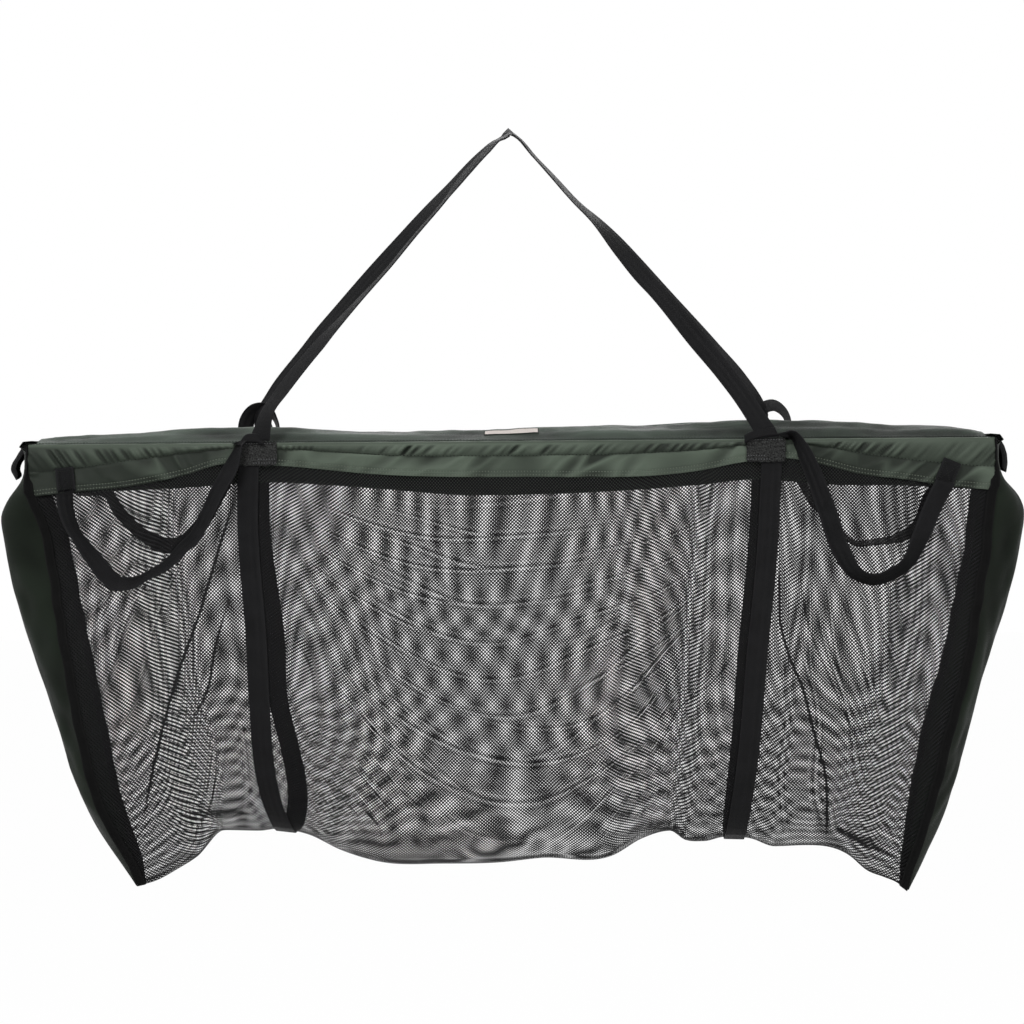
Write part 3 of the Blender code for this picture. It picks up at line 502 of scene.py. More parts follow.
def build_mesh_holes():
    """Knitted mesh: 1 on the threads and 0 in the holes between their slanting lines."""
    group, given, made = new_group(
        "mesh_holes",
        "ShaderNodeTree",
        [
            ("Place", "Vector", None),
            ("Across", "Float", 0.0039),
            ("Down", "Float", 0.0042),
            ("Open", "Float", 0.4),
            ("Bunch", "Float", 0.0),
        ],
        [("Thread", "Float"), ("Height", "Float")],
    )
    place = put(group, "ShaderNodeSeparateXYZ", Vector=given["Place"]).outputs
    u = calc(group, "DIVIDE", place[0], given["Across"])
    v = calc(group, "DIVIDE", place[1], given["Down"])
    waves = []
    for operation in ("ADD", "SUBTRACT"):
        turn = calc(group, "MULTIPLY", calc(group, operation, u, v), math.pi)
        waves.append(calc(group, "ABSOLUTE", calc(group, "SINE", turn)))
    product = calc(group, "MULTIPLY", *waves)
    closed = calc(group, "ADD", given["Open"], calc(group, "MULTIPLY", given["Bunch"], 0.9))
    soft = 0.09
    edges = [calc(group, operation, closed, soft) for operation in ("SUBTRACT", "ADD")]
    feed(group, made["Thread"], spread(group, product, *edges, 1.0, 0.0, kind="SMOOTHSTEP"))
    feed(group, made["Height"], calc(group, "SUBTRACT", 1.0, product))
    return group


MESH_HOLES = build_mesh_holes()


def bump(tree, shader, height, distance):
    """Feeds a height in units of distance, in metres, to the shader's normal."""
    node = put(tree, "ShaderNodeBump", Height=height, Distance=distance)
    feed(tree, shader.inputs["Normal"], node.outputs["Normal"])
    return node


def mask_value(tree, name):
    return put(tree, "ShaderNodeAttribute", {"attribute_name": name}).outputs["Fac"]


def noise(tree, place, scale, detail=2.0):
    return put(tree, "ShaderNodeTexNoise", Vector=place, Scale=scale, Detail=detail).outputs["Fac"]


def object_place(tree):
    return put(tree, "ShaderNodeTexCoord").outputs["Object"]


def bell(tree, value, middle, narrow):
    """A smooth bump of height 1 round a middle value."""
    off = calc(tree, "MULTIPLY", calc(tree, "SUBTRACT", value, middle), narrow)
    return calc(tree, "EXPONENT", calc(tree, "MULTIPLY", calc(tree, "MULTIPLY", off, off), -1.0))


def net_material():
    """Black thread with open holes. The knit is closer on creases, on drawn lines and where it is double."""
    material, tree, shader = new_material("black_net", (0.010, 0.010, 0.0105), 0.62, shine=0.08)
    at_crease = bell(tree, mask_value(tree, "crease"), 0.0, 20.0)
    bunch = calc(tree, "MULTIPLY", at_crease, mask_value(tree, "crease_depth"))
    place = calc(tree, "SUBTRACT", calc(tree, "FRACT", mask_value(tree, "swag")), 0.5)
    lines = calc(tree, "SUBTRACT", bell(tree, place, 0.0, 26.0), bell(tree, place, 0.075, 26.0))
    beside = calc(tree, "SUBTRACT", bell(tree, place, 0.17, 32.0), bell(tree, place, -0.12, 32.0))
    lines = calc(tree, "ADD", lines, calc(tree, "MULTIPLY", beside, 0.6))
    lines = calc(tree, "MULTIPLY", calc(tree, "MULTIPLY", lines, 0.3), mask_value(tree, "drawn"))
    bunch = calc(tree, "ADD", bunch, lines)
    bunch = calc(tree, "ADD", bunch, calc(tree, "MULTIPLY", mask_value(tree, "double"), 0.5))
    holes = place_group(tree, MESH_HOLES, Place=uv_source(tree), Bunch=bunch, Open=0.44)
    feed(tree, shader.inputs["Alpha"], holes["Thread"])
    bump(tree, shader, holes["Height"], 0.0004)
    dust = noise(tree, uv_source(tree), 9)
    feed(tree, shader.inputs["Roughness"], spread(tree, dust, 0, 1, 0.55, 0.72))
    return material


NET_COLUMNS, NET_ROWS = 320, 112
NET_TUCK_SHARE = -0.008 / 0.45
NET_MASKS = ("crease", "crease_depth", "swag", "drawn", "double")
# The rear wall's knit is wider and more open than the front's, and past the straps and low down it is closer.
REAR_WIDER, REAR_LONGER = 0.17, 0.005
FRONT_CLOSER, LOW_CLOSER = 0.16, 0.04
KNIT_WAVER = 0.0011


def build_net():
    across = np.linspace(-1, 1, NET_COLUMNS + 1)
    shares = np.concatenate([[NET_TUCK_SHARE], np.linspace(0, 1, NET_ROWS) ** 0.93])
    walls, marks = [], []
    for side, order in ((-1, shares), (1, shares[-2::-1])):
        a, s = np.meshgrid(across, order)
        wall = wall_base(a, s, side)
        marks.append(np.stack(fold_height(wall[..., 0], -HANG - wall[..., 2], a, s, side), axis=-1))
        walls.append(wall)
    base, marks = np.concatenate(walls), np.concatenate(marks)
    points = base + surface_normals(base) * marks[..., :1]
    masks = dict(zip(NET_MASKS, np.moveaxis(marks[..., 1:], -1, 0)))
    down = run_length(base)
    run_x, run_y = base[..., 0], down - down[len(down) // 2]
    rear = np.clip((run_y + 0.25) / 0.5, 0, 1)
    rear = rear * rear * (3 - 2 * rear)
    past = np.clip((np.abs(across) - ACROSS_STOPS[2]) / 0.05, 0, 1)[None, :]
    low_down = np.clip((-HANG - base[..., 2] - 0.35) / 0.07, 0, 1)
    masks["double"] += FRONT_CLOSER * (1 - 2 * rear) + LOW_CLOSER * np.maximum(past, low_down)
    # The knit is drawn a little out of line here and there.
    u = run_x * (1 - REAR_WIDER * rear) + KNIT_WAVER * ripples(run_x, run_y, 0.24, 31)
    v = run_y * (1 - REAR_LONGER * rear) + KNIT_WAVER * ripples(run_x, run_y, 0.24, 32)
    uv = np.stack([u, v], axis=-1)
    net = cloth_piece("net_cloth", points, uv, net_material(), "sling", "net_body", 0, masks)


build_net()


# The two rim sleeves: green coated polyester folded over a row of foam floats. One stitch row closes the
# tunnel under the floats, which puckers the cloth above it, and two more hold the net in the hem.
BAND_OUT, BAND_IN = 0.0555, 0.0525
TUNNEL_INNER = 0.0315
TUNNEL_END = 0.0028
SLEEVE_CORNER = 0.0026
STRAP_TOP_X = 0.314
BAND_ROWS, TUNNEL_ROWS = 21, 19
HEM_ROWS = (0.0025, 0.0068)
STITCH_LIFT = 0.0005
# A fold of this height is one step of painted shade, and the painted shades stay within a range.
FOLD_UNIT = 0.0014
FOLD_RANGE = (-1.8, 1.1)
BAND_WAVE, BAND_CRUMPLE = 0.0008, 0.0012
HEM_GROOVE, HEM_GROOVE_HALF = 0.0004, 0.0016
STITCH_GROOVE, STITCH_GROOVE_HALF = 0.0007, 0.0022
TUNNEL_SWELL = 0.0026
# Puckers over the stitch row, as (size, how far they are drawn out down the rim, height).
PUCKERS = ((0.019, 0.2, 0.0016), (0.033, 0.3, 0.0014))
RIM_GREEN = (0.064, 0.081, 0.062)
# Depth of the stitch row under the floats.
TUNNEL = [
    (-600, 34), (-531, 29), (-440, 17), (-332, 6), (-280, 7), (-158, 15), (34, 17), (226, 12),
    (300, 6), (340, 6), (430, 19), (510, 29), (568, 34), (600, 35),
]
# Outside the straps, where the rim leans inwards, it gets painted shade, most of all under the stitch row,
# and along the tunnel painted shade and light change with place.
BAND_PAINTED_SHADING = (
    (-0.57, -0.47, -0.345, -0.30, 0.30, 0.36, 0.5, 0.55),
    (-2.4, -1.6, -1.4, 0.35, 0.3, -1.2, -1.25, 0.1),
)
TUNNEL_PAINTED_SHADING = (
    (-0.57, -0.5, -0.33, -0.1, 0.08, 0.16, 0.27, 0.36, 0.57),
    (-1.2, -0.2, -0.2, 0.55, 0.75, -0.3, -0.6, -0.1, -0.1),
)


def near_strap(x, width=0.03):
    """1 at the cradle straps, falling to 0 away from them."""
    return hump(np.abs(x), STRAP_TOP_X, width, 4)


def sharp(wave):
    """Broad rounded tops with narrow valleys between them, as in puckered cloth."""
    return 1 - np.abs(wave) * 1.6 - 0.25 * wave


def sleeve_grid(side, columns=560):
    """The sleeve's cloth from its hem up over the floats and down behind the net, with the painted shade and
    light of its folds.
    """
    x = np.linspace(-RIM_HALF, RIM_HALF, columns)
    low, stitch = hem(x, side), curve_through(TUNNEL, x)
    floor = stitch + 0.006
    rows, folds = [], []

    def row(y, depth, fold=0.0):
        rows.append(np.stack([x, side * (y + 0 * x), level(depth + 0 * x)], axis=-1))
        folds.append(fold + 0 * x)

    seed = 70 if side < 0 else 90
    away = 1 - near_strap(x)
    band_shading, tunnel_shading = np.interp(x, *BAND_PAINTED_SHADING), np.interp(x, *TUNNEL_PAINTED_SHADING)
    slant = np.interp(x, [-0.4, -0.15], [-0.7, 0.9])
    sparse = np.clip(0.5 + 0.8 * ripples(x, 0 * x, 0.12, seed + 8), 0, 1.3)
    sparse = sparse + np.clip((np.abs(x) - 0.33) / 0.1, 0, 0.6)
    for t in np.linspace(0, 1, BAND_ROWS + 1)[:-1]:
        depth = low + (stitch - low) * t
        wave = BAND_WAVE * ripples(x, depth, 0.075, seed)
        crumple = sharp(ripples(x + slant * depth, depth * 0.7, 0.036, seed + 1))
        wave = wave + BAND_CRUMPLE * sparse * (crumple - 0.3)
        at_hem = sum(hump(low - depth, at, HEM_GROOVE_HALF) for at in HEM_ROWS)
        wave = wave - HEM_GROOVE * at_hem - STITCH_GROOVE * hump(depth, stitch, STITCH_GROOVE_HALF)
        # Painted shade in the band's grooves and valleys and painted light on its crumples' tops, added to
        # the painted shading by place.
        row(BAND_OUT + np.maximum(wave, -0.0012) * away, depth, band_shading + wave / FOLD_UNIT)
    strength = np.clip(0.65 + 0.5 * ripples(x, 0 * x, 0.11, seed + 4), 0.1, 1.5)
    for t in np.linspace(0, 1, TUNNEL_ROWS + 1)[:-1]:
        depth = stitch * (1 - t) + TUNNEL_END * t
        swell = TUNNEL_SWELL * np.sin(math.pi * t) ** 0.7
        slanted = x + np.interp(x, [-0.4, -0.15], [-0.7, 1.0]) * depth
        pucker = sum(
            sharp(ripples(slanted, depth * drawn, size, seed + 2 + i, lean=0.0)) * height
            for i, (size, drawn, height) in enumerate(PUCKERS)
        )
        pucker = pucker * strength * math.sin(math.pi * min(t * 1.1, 1)) ** 0.6
        pucker = pucker - STITCH_GROOVE * (1 - t) ** 6
        # Painted shade in the puckers' valleys and across the middle of the tunnel, painted light towards its
        # top, added to the painted shading by place.
        shade = pucker / FOLD_UNIT - 0.9 * math.sin(math.pi * t) ** 0.7 + 0.35 * t + tunnel_shading
        row(BAND_OUT + (swell + pucker) * away, depth, shade)
    for angle in np.linspace(0, math.pi / 2, 6)[1:-1]:
        out, up = SLEEVE_CORNER * math.cos(angle), SLEEVE_CORNER * (1 - math.sin(angle))
        row(BAND_OUT - SLEEVE_CORNER + out, up)
    for t in np.linspace(0, 1, 9):
        y = (BAND_OUT - SLEEVE_CORNER) * (1 - t) + (TUNNEL_INNER + SLEEVE_CORNER) * t
        row(y, -0.0006 * math.sin(math.pi * t) * (1 + 0.5 * ripples(x, 0 * x + y, 0.03, seed + 5)))
    for angle in np.linspace(math.pi / 2, math.pi, 6)[1:-1]:
        out, up = SLEEVE_CORNER * math.cos(angle), SLEEVE_CORNER * (1 - math.sin(angle))
        row(TUNNEL_INNER + SLEEVE_CORNER + out, up)
    for t in np.linspace(0, 1, 10):
        depth = SLEEVE_CORNER * (1 - t) + floor * t
        row(TUNNEL_INNER + 0.0006 * ripples(x, depth, 0.03, seed + 6) * math.sin(math.pi * t), depth)
    for t in np.linspace(0, 1, 7)[1:]:
        row((TUNNEL_INNER + 0.0005) * (1 - t) + BAND_IN * t, floor + 0.004 * t**0.6)
    for t in np.linspace(0, 1, 9)[1:]:
        row(BAND_IN, (floor + 0.004) * (1 - t) + low * t)
    return np.stack(rows), np.clip(np.stack(folds), *FOLD_RANGE)


def build_cloth_grain():
    """Coated woven cloth: a fine plain weave, soft creases that catch the light and slow changes of tone."""
    group, given, made = new_group(
        "cloth_grain",
        "ShaderNodeTree",
        [("Place", "Vector", None), ("Thread", "Float", 0.0006), ("Crease", "Float", 24.0)],
        [("Weave", "Float"), ("Crease", "Float"), ("Tone", "Float")],
    )
    place = put(group, "ShaderNodeSeparateXYZ", Vector=given["Place"]).outputs
    turns = []
    for axis in (0, 1):
        count = calc(group, "DIVIDE", place[axis], given["Thread"])
        turns.append(calc(group, "SINE", calc(group, "MULTIPLY", count, math.pi)))
    feed(group, made["Weave"], calc(group, "MULTIPLY", *turns))
    crease = put(
        group, "ShaderNodeTexNoise", {"noise_type": "RIDGED_MULTIFRACTAL"},
        Vector=given["Place"], Scale=given["Crease"], Detail=3,
    )
    feed(group, made["Crease"], crease.outputs["Fac"])
    feed(group, made["Tone"], noise(group, given["Place"], 7, 5))
    return group


CLOTH_GRAIN = build_cloth_grain()


def mixed_colour(tree, share, low, high):
    """A colour between two, by a share that changes over the surface. Each is a colour or a socket."""
    low, high = (c if isinstance(c, bpy.types.NodeSocket) else (*c, 1) for c in (low, high))
    return put(tree, "ShaderNodeMix", {"data_type": "RGBA"}, Factor=share, A=low, B=high).outputs["Result"]


def coated_cloth(name, colour, roughness=0.42, shine=0.12):
    """Coated green polyester. Its base colour carries painted shade in the valleys of its folds and painted
    light on their tops.
    """
    material, tree, shader = new_material(name, colour, roughness, shine)
    grain = place_group(tree, CLOTH_GRAIN, Place=uv_source(tree))
    # Painted shade and painted light: the fold mask moves the colour from a dark to a light copy of the
    # cloth's colour, on top of its random tone.
    dark, light = (tuple(c * share for c in colour) for share in (0.28, 1.32))
    fold = calc(tree, "MULTIPLY", mask_value(tree, "fold"), 0.42)
    share = calc(tree, "ADD", spread(tree, grain["Tone"], 0.3, 0.7, 0.5, 0.78), fold, clamp=True)
    feed(tree, shader.inputs["Base Color"], mixed_colour(tree, share, dark, light))
    rough = spread(tree, grain["Tone"], 0.3, 0.7, roughness + 0.08, roughness - 0.06)
    feed(tree, shader.inputs["Roughness"], rough)
    weave = bump(tree, shader, grain["Weave"], 0.00008)
    crease = put(tree, "ShaderNodeBump", Distance=0.0012, Height=grain["Crease"])
    feed(tree, weave.inputs["Normal"], crease.outputs["Normal"])
    return material


RIM_CLOTH = coated_cloth("rim_cloth", RIM_GREEN)


def new_line_tree(name, inputs):
    """A tree that makes something along lines, with the lines as a curve and with its own inputs."""
    inputs = [("Line", "Geometry", None), *inputs, ("Material", "Material", None)]
    tree, given, made = new_group(name, "GeometryNodeTree", inputs, [("Made", "Geometry")])
    curve = put(tree, "GeometryNodeMeshToCurve", Mesh=given["Line"]).outputs["Curve"]
    return tree, given, made["Made"], curve


def finish_tree(tree, geometry, material, made):
    """Smooths and paints what a tree has made and hands it over."""
    real = put(tree, "GeometryNodeRealizeInstances", Geometry=geometry).outputs["Geometry"]
    smooth = put(tree, "GeometryNodeSetShadeSmooth", Geometry=real).outputs["Geometry"]
    painted = put(tree, "GeometryNodeSetMaterial", Geometry=smooth, Material=material)
    feed(tree, made, painted.outputs["Geometry"])
    return tree


def named(tree, name, kind="FLOAT"):
    """The value of an attribute."""
    return put(tree, "GeometryNodeInputNamedAttribute", {"data_type": kind}, Name=name).outputs["Attribute"]


def build_row_tree():
    """Sets one small unit after another along lines: the stitches of a seam or the teeth of a zip."""
    tree, given, made, curve = new_line_tree(
        "row_along_line",
        [
            ("Pitch", "Float", 0.003),
            ("Length", "Float", 0.0024),
            ("Width", "Float", 0.0006),
            ("Height", "Float", 0.0005),
            ("Uneven", "Float", 0.1),
            ("Seed", "Int", None),
        ],
    )
    even = put(tree, "GeometryNodeResampleCurve", {"mode": "LENGTH"}, Curve=curve, Length=given["Pitch"])
    turn = put(
        tree, "FunctionNodeAxesToRotation", {"primary_axis": "X", "secondary_axis": "Z"},
        Primary_Axis=put(tree, "GeometryNodeInputTangent").outputs[0],
        Secondary_Axis=named(tree, "lie", "FLOAT_VECTOR"),
    )
    ball = put(tree, "GeometryNodeMeshUVSphere", Segments=6, Rings=4, Radius=0.5)
    size = put(tree, "ShaderNodeCombineXYZ", X=given["Length"], Y=given["Width"], Z=given["Height"])
    unit = put(tree, "GeometryNodeTransform", Geometry=ball.outputs["Mesh"], Scale=size.outputs[0])
    bounds = []
    for operation in ("SUBTRACT", "ADD"):
        step = put(tree, "ShaderNodeVectorMath", {"operation": operation})
        step.inputs[0].default_value = (1, 1, 1)
        feed(tree, step.inputs[1], given["Uneven"])
        bounds.append(step.outputs[0])
    change = put(
        tree, "FunctionNodeRandomValue", {"data_type": "FLOAT_VECTOR"},
        Min=bounds[0], Max=bounds[1], Seed=given["Seed"],
    )
    many = put(
        tree, "GeometryNodeInstanceOnPoints",
        Points=even.outputs["Curve"],
        Instance=unit.outputs["Geometry"],
        Rotation=turn.outputs["Rotation"],
        Scale=change.outputs["Value"],
    )
    return finish_tree(tree, many.outputs["Instances"], given["Material"], made)


ROW_TREE = build_row_tree()


def lines_mesh(name, lines, lie):
    """Open lines of points, with the direction in which what follows them lies, one or one for each point."""
    mesh = bpy.data.meshes.new(name)
    points, edges = np.concatenate(lines), []
    for line in lines:
        start = edges[-1][1] + 1 if edges else 0
        edges += [(i, i + 1) for i in range(start, start + len(line) - 1)]
    mesh.from_pydata(points.tolist(), edges, [])
    held = mesh.attributes.new("lie", "FLOAT_VECTOR", "POINT")
    held.data.foreach_set("vector", np.broadcast_to(lie, points.shape).astype(np.float32).reshape(-1))
    return mesh


def run_tree(name, tree, lines, lie, **values):
    """Runs a tree on lines and keeps the plain mesh that comes out."""
    obj = bpy.data.objects.new(name, lines_mesh(name, lines, lie))
    bpy.context.collection.objects.link(obj)
    step = obj.modifiers.new("made", "NODES")
    step.node_group = tree
    for item in tree.interface.items_tree:
        if item.in_out == "INPUT" and item.name in values:
            step[item.identifier] = values[item.name]
    settle(obj)
    while obj.data.materials and obj.data.materials[0] is None:
        obj.data.materials.pop(index=0)
    return obj


def thread_material(name, dark, light):
    material, tree, shader = new_material(name, light, 0.55, shine=0.15)
    fuzz = noise(tree, object_place(tree), 900)
    feed(tree, shader.inputs["Base Color"], mixed_colour(tree, fuzz, dark, light))
    return material


THREAD = thread_material("thread", (0.004, 0.005, 0.004), (0.012, 0.014, 0.012))
HEM_THREAD = thread_material("hem_thread", (0.08, 0.095, 0.07), (0.13, 0.15, 0.12))


def stitch(name, body, lines, lie, pitch=0.0038, seed=1, thread=THREAD):
    """Rows of stitches that ride with a body."""
    rows = run_tree(
        name, ROW_TREE, lines, lie,
        Pitch=pitch, Length=pitch * 0.55, Width=0.0013, Height=0.001, Uneven=0.12, Seed=seed, Material=thread,
    )
    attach(rows, body)


def on_grid(points, row_at):
    """A line on a grid: the point of each column at a row that need not be whole."""
    row_at = np.broadcast_to(row_at, points.shape[1])
    low = np.clip(np.floor(row_at).astype(int), 0, points.shape[0] - 2)
    t = (row_at - low)[:, None]
    columns = np.arange(points.shape[1])
    return points[low, columns] * (1 - t) + points[low + 1, columns] * t


def build_rims():
    for end, side in ENDS:
        points, folds = sleeve_grid(side)
        down = run_length(points)
        uv = np.stack([points[..., 0], down], axis=-1)
        sleeve = cloth_piece(
            "rim_" + end, points, uv, RIM_CLOTH, "sling", "rim_sleeve_" + end,
            masks={"fold": folds}, flip=side < 0,
        )
        x = points[0, :, 0]
        span = hem(x, side) - curve_through(TUNNEL, x)
        out = np.array([0.0, side, 0.0])
        lifted = points + out * STITCH_LIFT
        hem_lines = [on_grid(lifted, at / span * BAND_ROWS) for at in HEM_ROWS]
        stitch("hem_stitches_" + end, "sling", hem_lines, out, 0.0036, 3 + side, HEM_THREAD)
        stitch("rim_stitches_" + end, "sling", [lifted[BAND_ROWS]], out, 0.0043, 5 + side)


build_rims()


# The floats: bars of closed-cell foam inside the sleeves, three to a rim, parted where the straps are sewn
# through. They keep the shape that the frame gives them and get the foam's fine cells.
def foam_material():
    material, tree, shader = new_material("float_foam", (0.3, 0.3, 0.3), 0.9)
    cells = put(tree, "ShaderNodeTexVoronoi", Vector=object_place(tree), Scale=900).outputs["Distance"]
    colour = mixed_colour(tree, cells, (0.34, 0.34, 0.33), (0.24, 0.24, 0.24))
    feed(tree, shader.inputs["Base Color"], colour)
    bump(tree, shader, cells, 0.0003)
    return material


def paint_nodes(names, material):
    """Gives nodes of the frame that keep their shape a material of their own."""
    for name in names:
        for slot in bpy.data.objects[name].material_slots:
            slot.material = material


FLOATS = [f"float_{end}_{place}" for end, _ in ENDS for place in ("left", "middle", "right")]
paint_nodes(FLOATS, foam_material())


# The two end gussets: lens-shaped pieces of a darker green cloth that close the rims, swell out under
# them and run down to the low tips of the bag. Loose cloth hangs in long soft folds.
GUSSET_GREEN = (0.011, 0.015, 0.0105)
LIP = ((0.575, -0.0045), (0.5863, -0.0036), (0.5908, 0.0024))
# Half length of the bag over the middle of a gusset, down to where the two ends differ, and below it.
GUSSET_REACH = [(0, 592), (42, 595), (69, 617.6), (90, 624), (132, 617), (294, 570)]
GUSSET_TIPS = {-1: [(452, 514), (545, 458)], 1: [(452, 523), (510, 500), (552, 480)]}
GUSSET_OFF = 0.0009
GUSSET_BULGE_POWER = 2.4
GUSSET_FOLD, GUSSET_FINE_FOLD = 0.0026, 0.0010


def gusset_grid(sign):
    """A gusset from its lip on the roof down its bulge to its tip, and from front to rear."""
    across = np.sin(np.linspace(-math.pi / 2, math.pi / 2, 49))
    rows = []

    def row(depth, edge, half):
        """One level of the gusset, from its front seam over the bulge to its rear seam."""
        reach = max(float(curve_through(GUSSET_REACH + GUSSET_TIPS[sign], depth)) - edge, 0.0012)
        x = edge + reach * (1 - np.abs(across) ** GUSSET_BULGE_POWER)
        rows.append(np.stack([x, half * across, np.full_like(across, level(depth))], -1))

    for t in np.linspace(0, 2, 7):
        x, depth = (np.interp(t, range(3), [place[axis] for place in LIP]) for axis in (0, 1))
        lip = [np.full_like(across, x), RIM_HALF_DEPTH * across, np.full_like(across, level(depth))]
        rows.append(np.stack(lip, -1))
    for depth in np.linspace(0.01, 0.058, 9):
        row(depth, RIM_HALF + GUSSET_OFF, RIM_HALF_DEPTH)
    for share in np.linspace(0, 1, 84):
        x, y, z = wall_base(np.array([[float(sign)]]), np.array([[share]]), -1)[0, 0]
        row(-HANG - z, abs(x) + GUSSET_OFF, max(-y, 0.003))
    points = np.stack(rows)
    points[..., 0] *= sign
    return points


def build_gussets():
    cloth = coated_cloth("gusset_cloth", GUSSET_GREEN, roughness=0.5, shine=0.05)
    for label, sign in HALVES:
        points = gusset_grid(sign)
        depth = -HANG - points[..., 2]
        w = np.linspace(-1, 1, points.shape[1])[None, :]
        loose = (1 - np.abs(w) ** 3) * np.clip(depth / 0.06, 0, 1) * np.clip((0.53 - depth) / 0.1, 0, 1)
        seed = 110 if sign < 0 else 120
        aside = 0.35 + 0.65 * (1 - hump(w, 0, 0.4))
        fold = GUSSET_FOLD * aside * ripples(points[..., 1] * 2.6, depth * 0.6, 0.11, seed)
        fold = fold + GUSSET_FINE_FOLD * aside * ripples(points[..., 1] * 2, depth * 0.8, 0.045, seed + 1)
        points = points + surface_normals(points, sign) * (fold * loose)[..., None]
        down = run_length(points)
        uv = np.stack([points[..., 1], down], axis=-1)
        # The fold mask paints shade into the folds' valleys and light onto their tops.
        gusset = cloth_piece(
            "gusset_cloth_" + label, points, uv, cloth, "sling", "gusset_" + label,
            masks={"fold": np.clip(fold * loose / 0.003, -1, 1)}, flip=sign > 0,
        )


build_gussets()


# The bindings: black ribbed tape folded over the four seams between net and gussets and sewn down.
# Each is swept along its seam, and its woven pattern runs with it.
BINDING_WIDTH, BINDING_THICK = 0.0115, 0.0022
# The tape's middle lies this far inside the seam and out from the net.
BINDING_INWARD, BINDING_OUTWARD, BINDING_WAVER = 0.0034, 0.0016, 0.0006
RIM_END_X, RIM_END_Y = 0.5798, 0.0577
CLIMB_STEPS = 14


def remember(tree, geometry, name, value, kind="FLOAT", domain="POINT"):
    """Stores a value on what is being made, under a name."""
    settings = {"data_type": kind, "domain": domain}
    kept = put(tree, "GeometryNodeStoreNamedAttribute", settings, Geometry=geometry, Name=name, Value=value)
    return kept.outputs["Geometry"]


def build_webbing_sweep():
    """Sweeps a flat band with rounded edges along lines whose points say which way the band lies."""
    tree, given, made, curve = new_line_tree(
        "webbing_sweep", [("Width", "Float", 0.025), ("Thickness", "Float", 0.0016)]
    )
    turned = put(
        tree, "GeometryNodeSetCurveNormal", {"mode": "FREE"},
        Curve=curve, Normal=named(tree, "lie", "FLOAT_VECTOR"),
    )
    length = put(tree, "GeometryNodeSplineParameter").outputs["Length"]
    along = remember(tree, turned.outputs["Curve"], "along", length)
    flat = put(
        tree, "GeometryNodeCurvePrimitiveQuadrilateral", Width=given["Width"], Height=given["Thickness"]
    )
    rounded = put(
        tree, "GeometryNodeFilletCurve", {"mode": "POLY"},
        Curve=flat.outputs["Curve"],
        Count=2,
        Limit_Radius=True,
        Radius=calc(tree, "MULTIPLY", given["Thickness"], 0.45),
    )
    place = put(tree, "ShaderNodeSeparateXYZ", Vector=put(tree, "GeometryNodeInputPosition").outputs[0])
    profile = remember(tree, rounded.outputs["Curve"], "across", place.outputs[0])
    body = put(tree, "GeometryNodeCurveToMesh", Curve=along, Profile_Curve=profile, Fill_Caps=True)
    pair = put(tree, "ShaderNodeCombineXYZ", X=named(tree, "across"), Y=named(tree, "along"))
    mapped = remember(tree, body.outputs["Mesh"], "UVMap", pair.outputs[0], "FLOAT2", "CORNER")
    return finish_tree(tree, mapped, given["Material"], made)


WEBBING_SWEEP = build_webbing_sweep()


def build_webbing_weave():
    """Woven webbing: slanting ribs in two directions, a painted highlight along each selvedge and a little
    fluff.
    """
    group, given, made = new_group(
        "webbing_weave",
        "ShaderNodeTree",
        [("Place", "Vector", None), ("Rib", "Float", 0.0022), ("Half Width", "Float", 0.0125)],
        [("Rib", "Float"), ("Edge Highlight", "Float"), ("Tone", "Float")],
    )
    place = put(group, "ShaderNodeSeparateXYZ", Vector=given["Place"]).outputs
    side = calc(group, "ABSOLUTE", place[0])
    slant = calc(group, "ADD", calc(group, "PINGPONG", side, 0.004), place[1])
    turn = calc(group, "MULTIPLY", calc(group, "DIVIDE", slant, given["Rib"]), 2 * math.pi)
    feed(group, made["Rib"], calc(group, "ABSOLUTE", calc(group, "SINE", turn)))
    from_edge = calc(group, "SUBTRACT", given["Half Width"], side)
    feed(group, made["Edge Highlight"], spread(group, from_edge, 0.0018, 0.0002))
    feed(group, made["Tone"], noise(group, given["Place"], 40, 6))
    return group


WEBBING_WEAVE = build_webbing_weave()


def webbing_material(name, colour, rib, half_width, roughness=0.5, shine=0.08):
    material, tree, shader = new_material(name, colour, roughness, shine)
    weave = place_group(tree, WEBBING_WEAVE, Place=uv_source(tree), Rib=rib, Half_Width=half_width)
    share = calc(tree, "MULTIPLY", weave["Rib"], spread(tree, weave["Tone"], 0.3, 0.7, 0.5, 1.0))
    # Painted highlight: the colour is made lighter along the band's edges.
    share = calc(tree, "ADD", share, calc(tree, "MULTIPLY", weave["Edge Highlight"], 0.35), clamp=True)
    dark, light = tuple(c * 0.4 for c in colour), tuple(c * 2.2 + 0.003 for c in colour)
    feed(tree, shader.inputs["Base Color"], mixed_colour(tree, share, dark, light))
    rough = spread(tree, weave["Tone"], 0.3, 0.7, roughness - 0.06, roughness + 0.1)
    feed(tree, shader.inputs["Roughness"], rough)
    bump(tree, shader, weave["Rib"], 0.0003)
    return material


def webbing(name, body, line, lie, width, thickness, material, node=None):
    """A band swept along a line, riding with a body and, if a node is named, standing for it."""
    band = run_tree(name, WEBBING_SWEEP, [line], lie, Width=width, Thickness=thickness, Material=material)
    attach(band, body)
    if node:
        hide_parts(node)


WEBBING_BLACK = (0.0052, 0.0052, 0.0057)
BINDING_BLACK = (0.0045, 0.0045, 0.0045)
BINDING_TAPE = webbing_material("binding_tape", BINDING_BLACK, 0.0011, 0.005, roughness=0.72, shine=0.05)


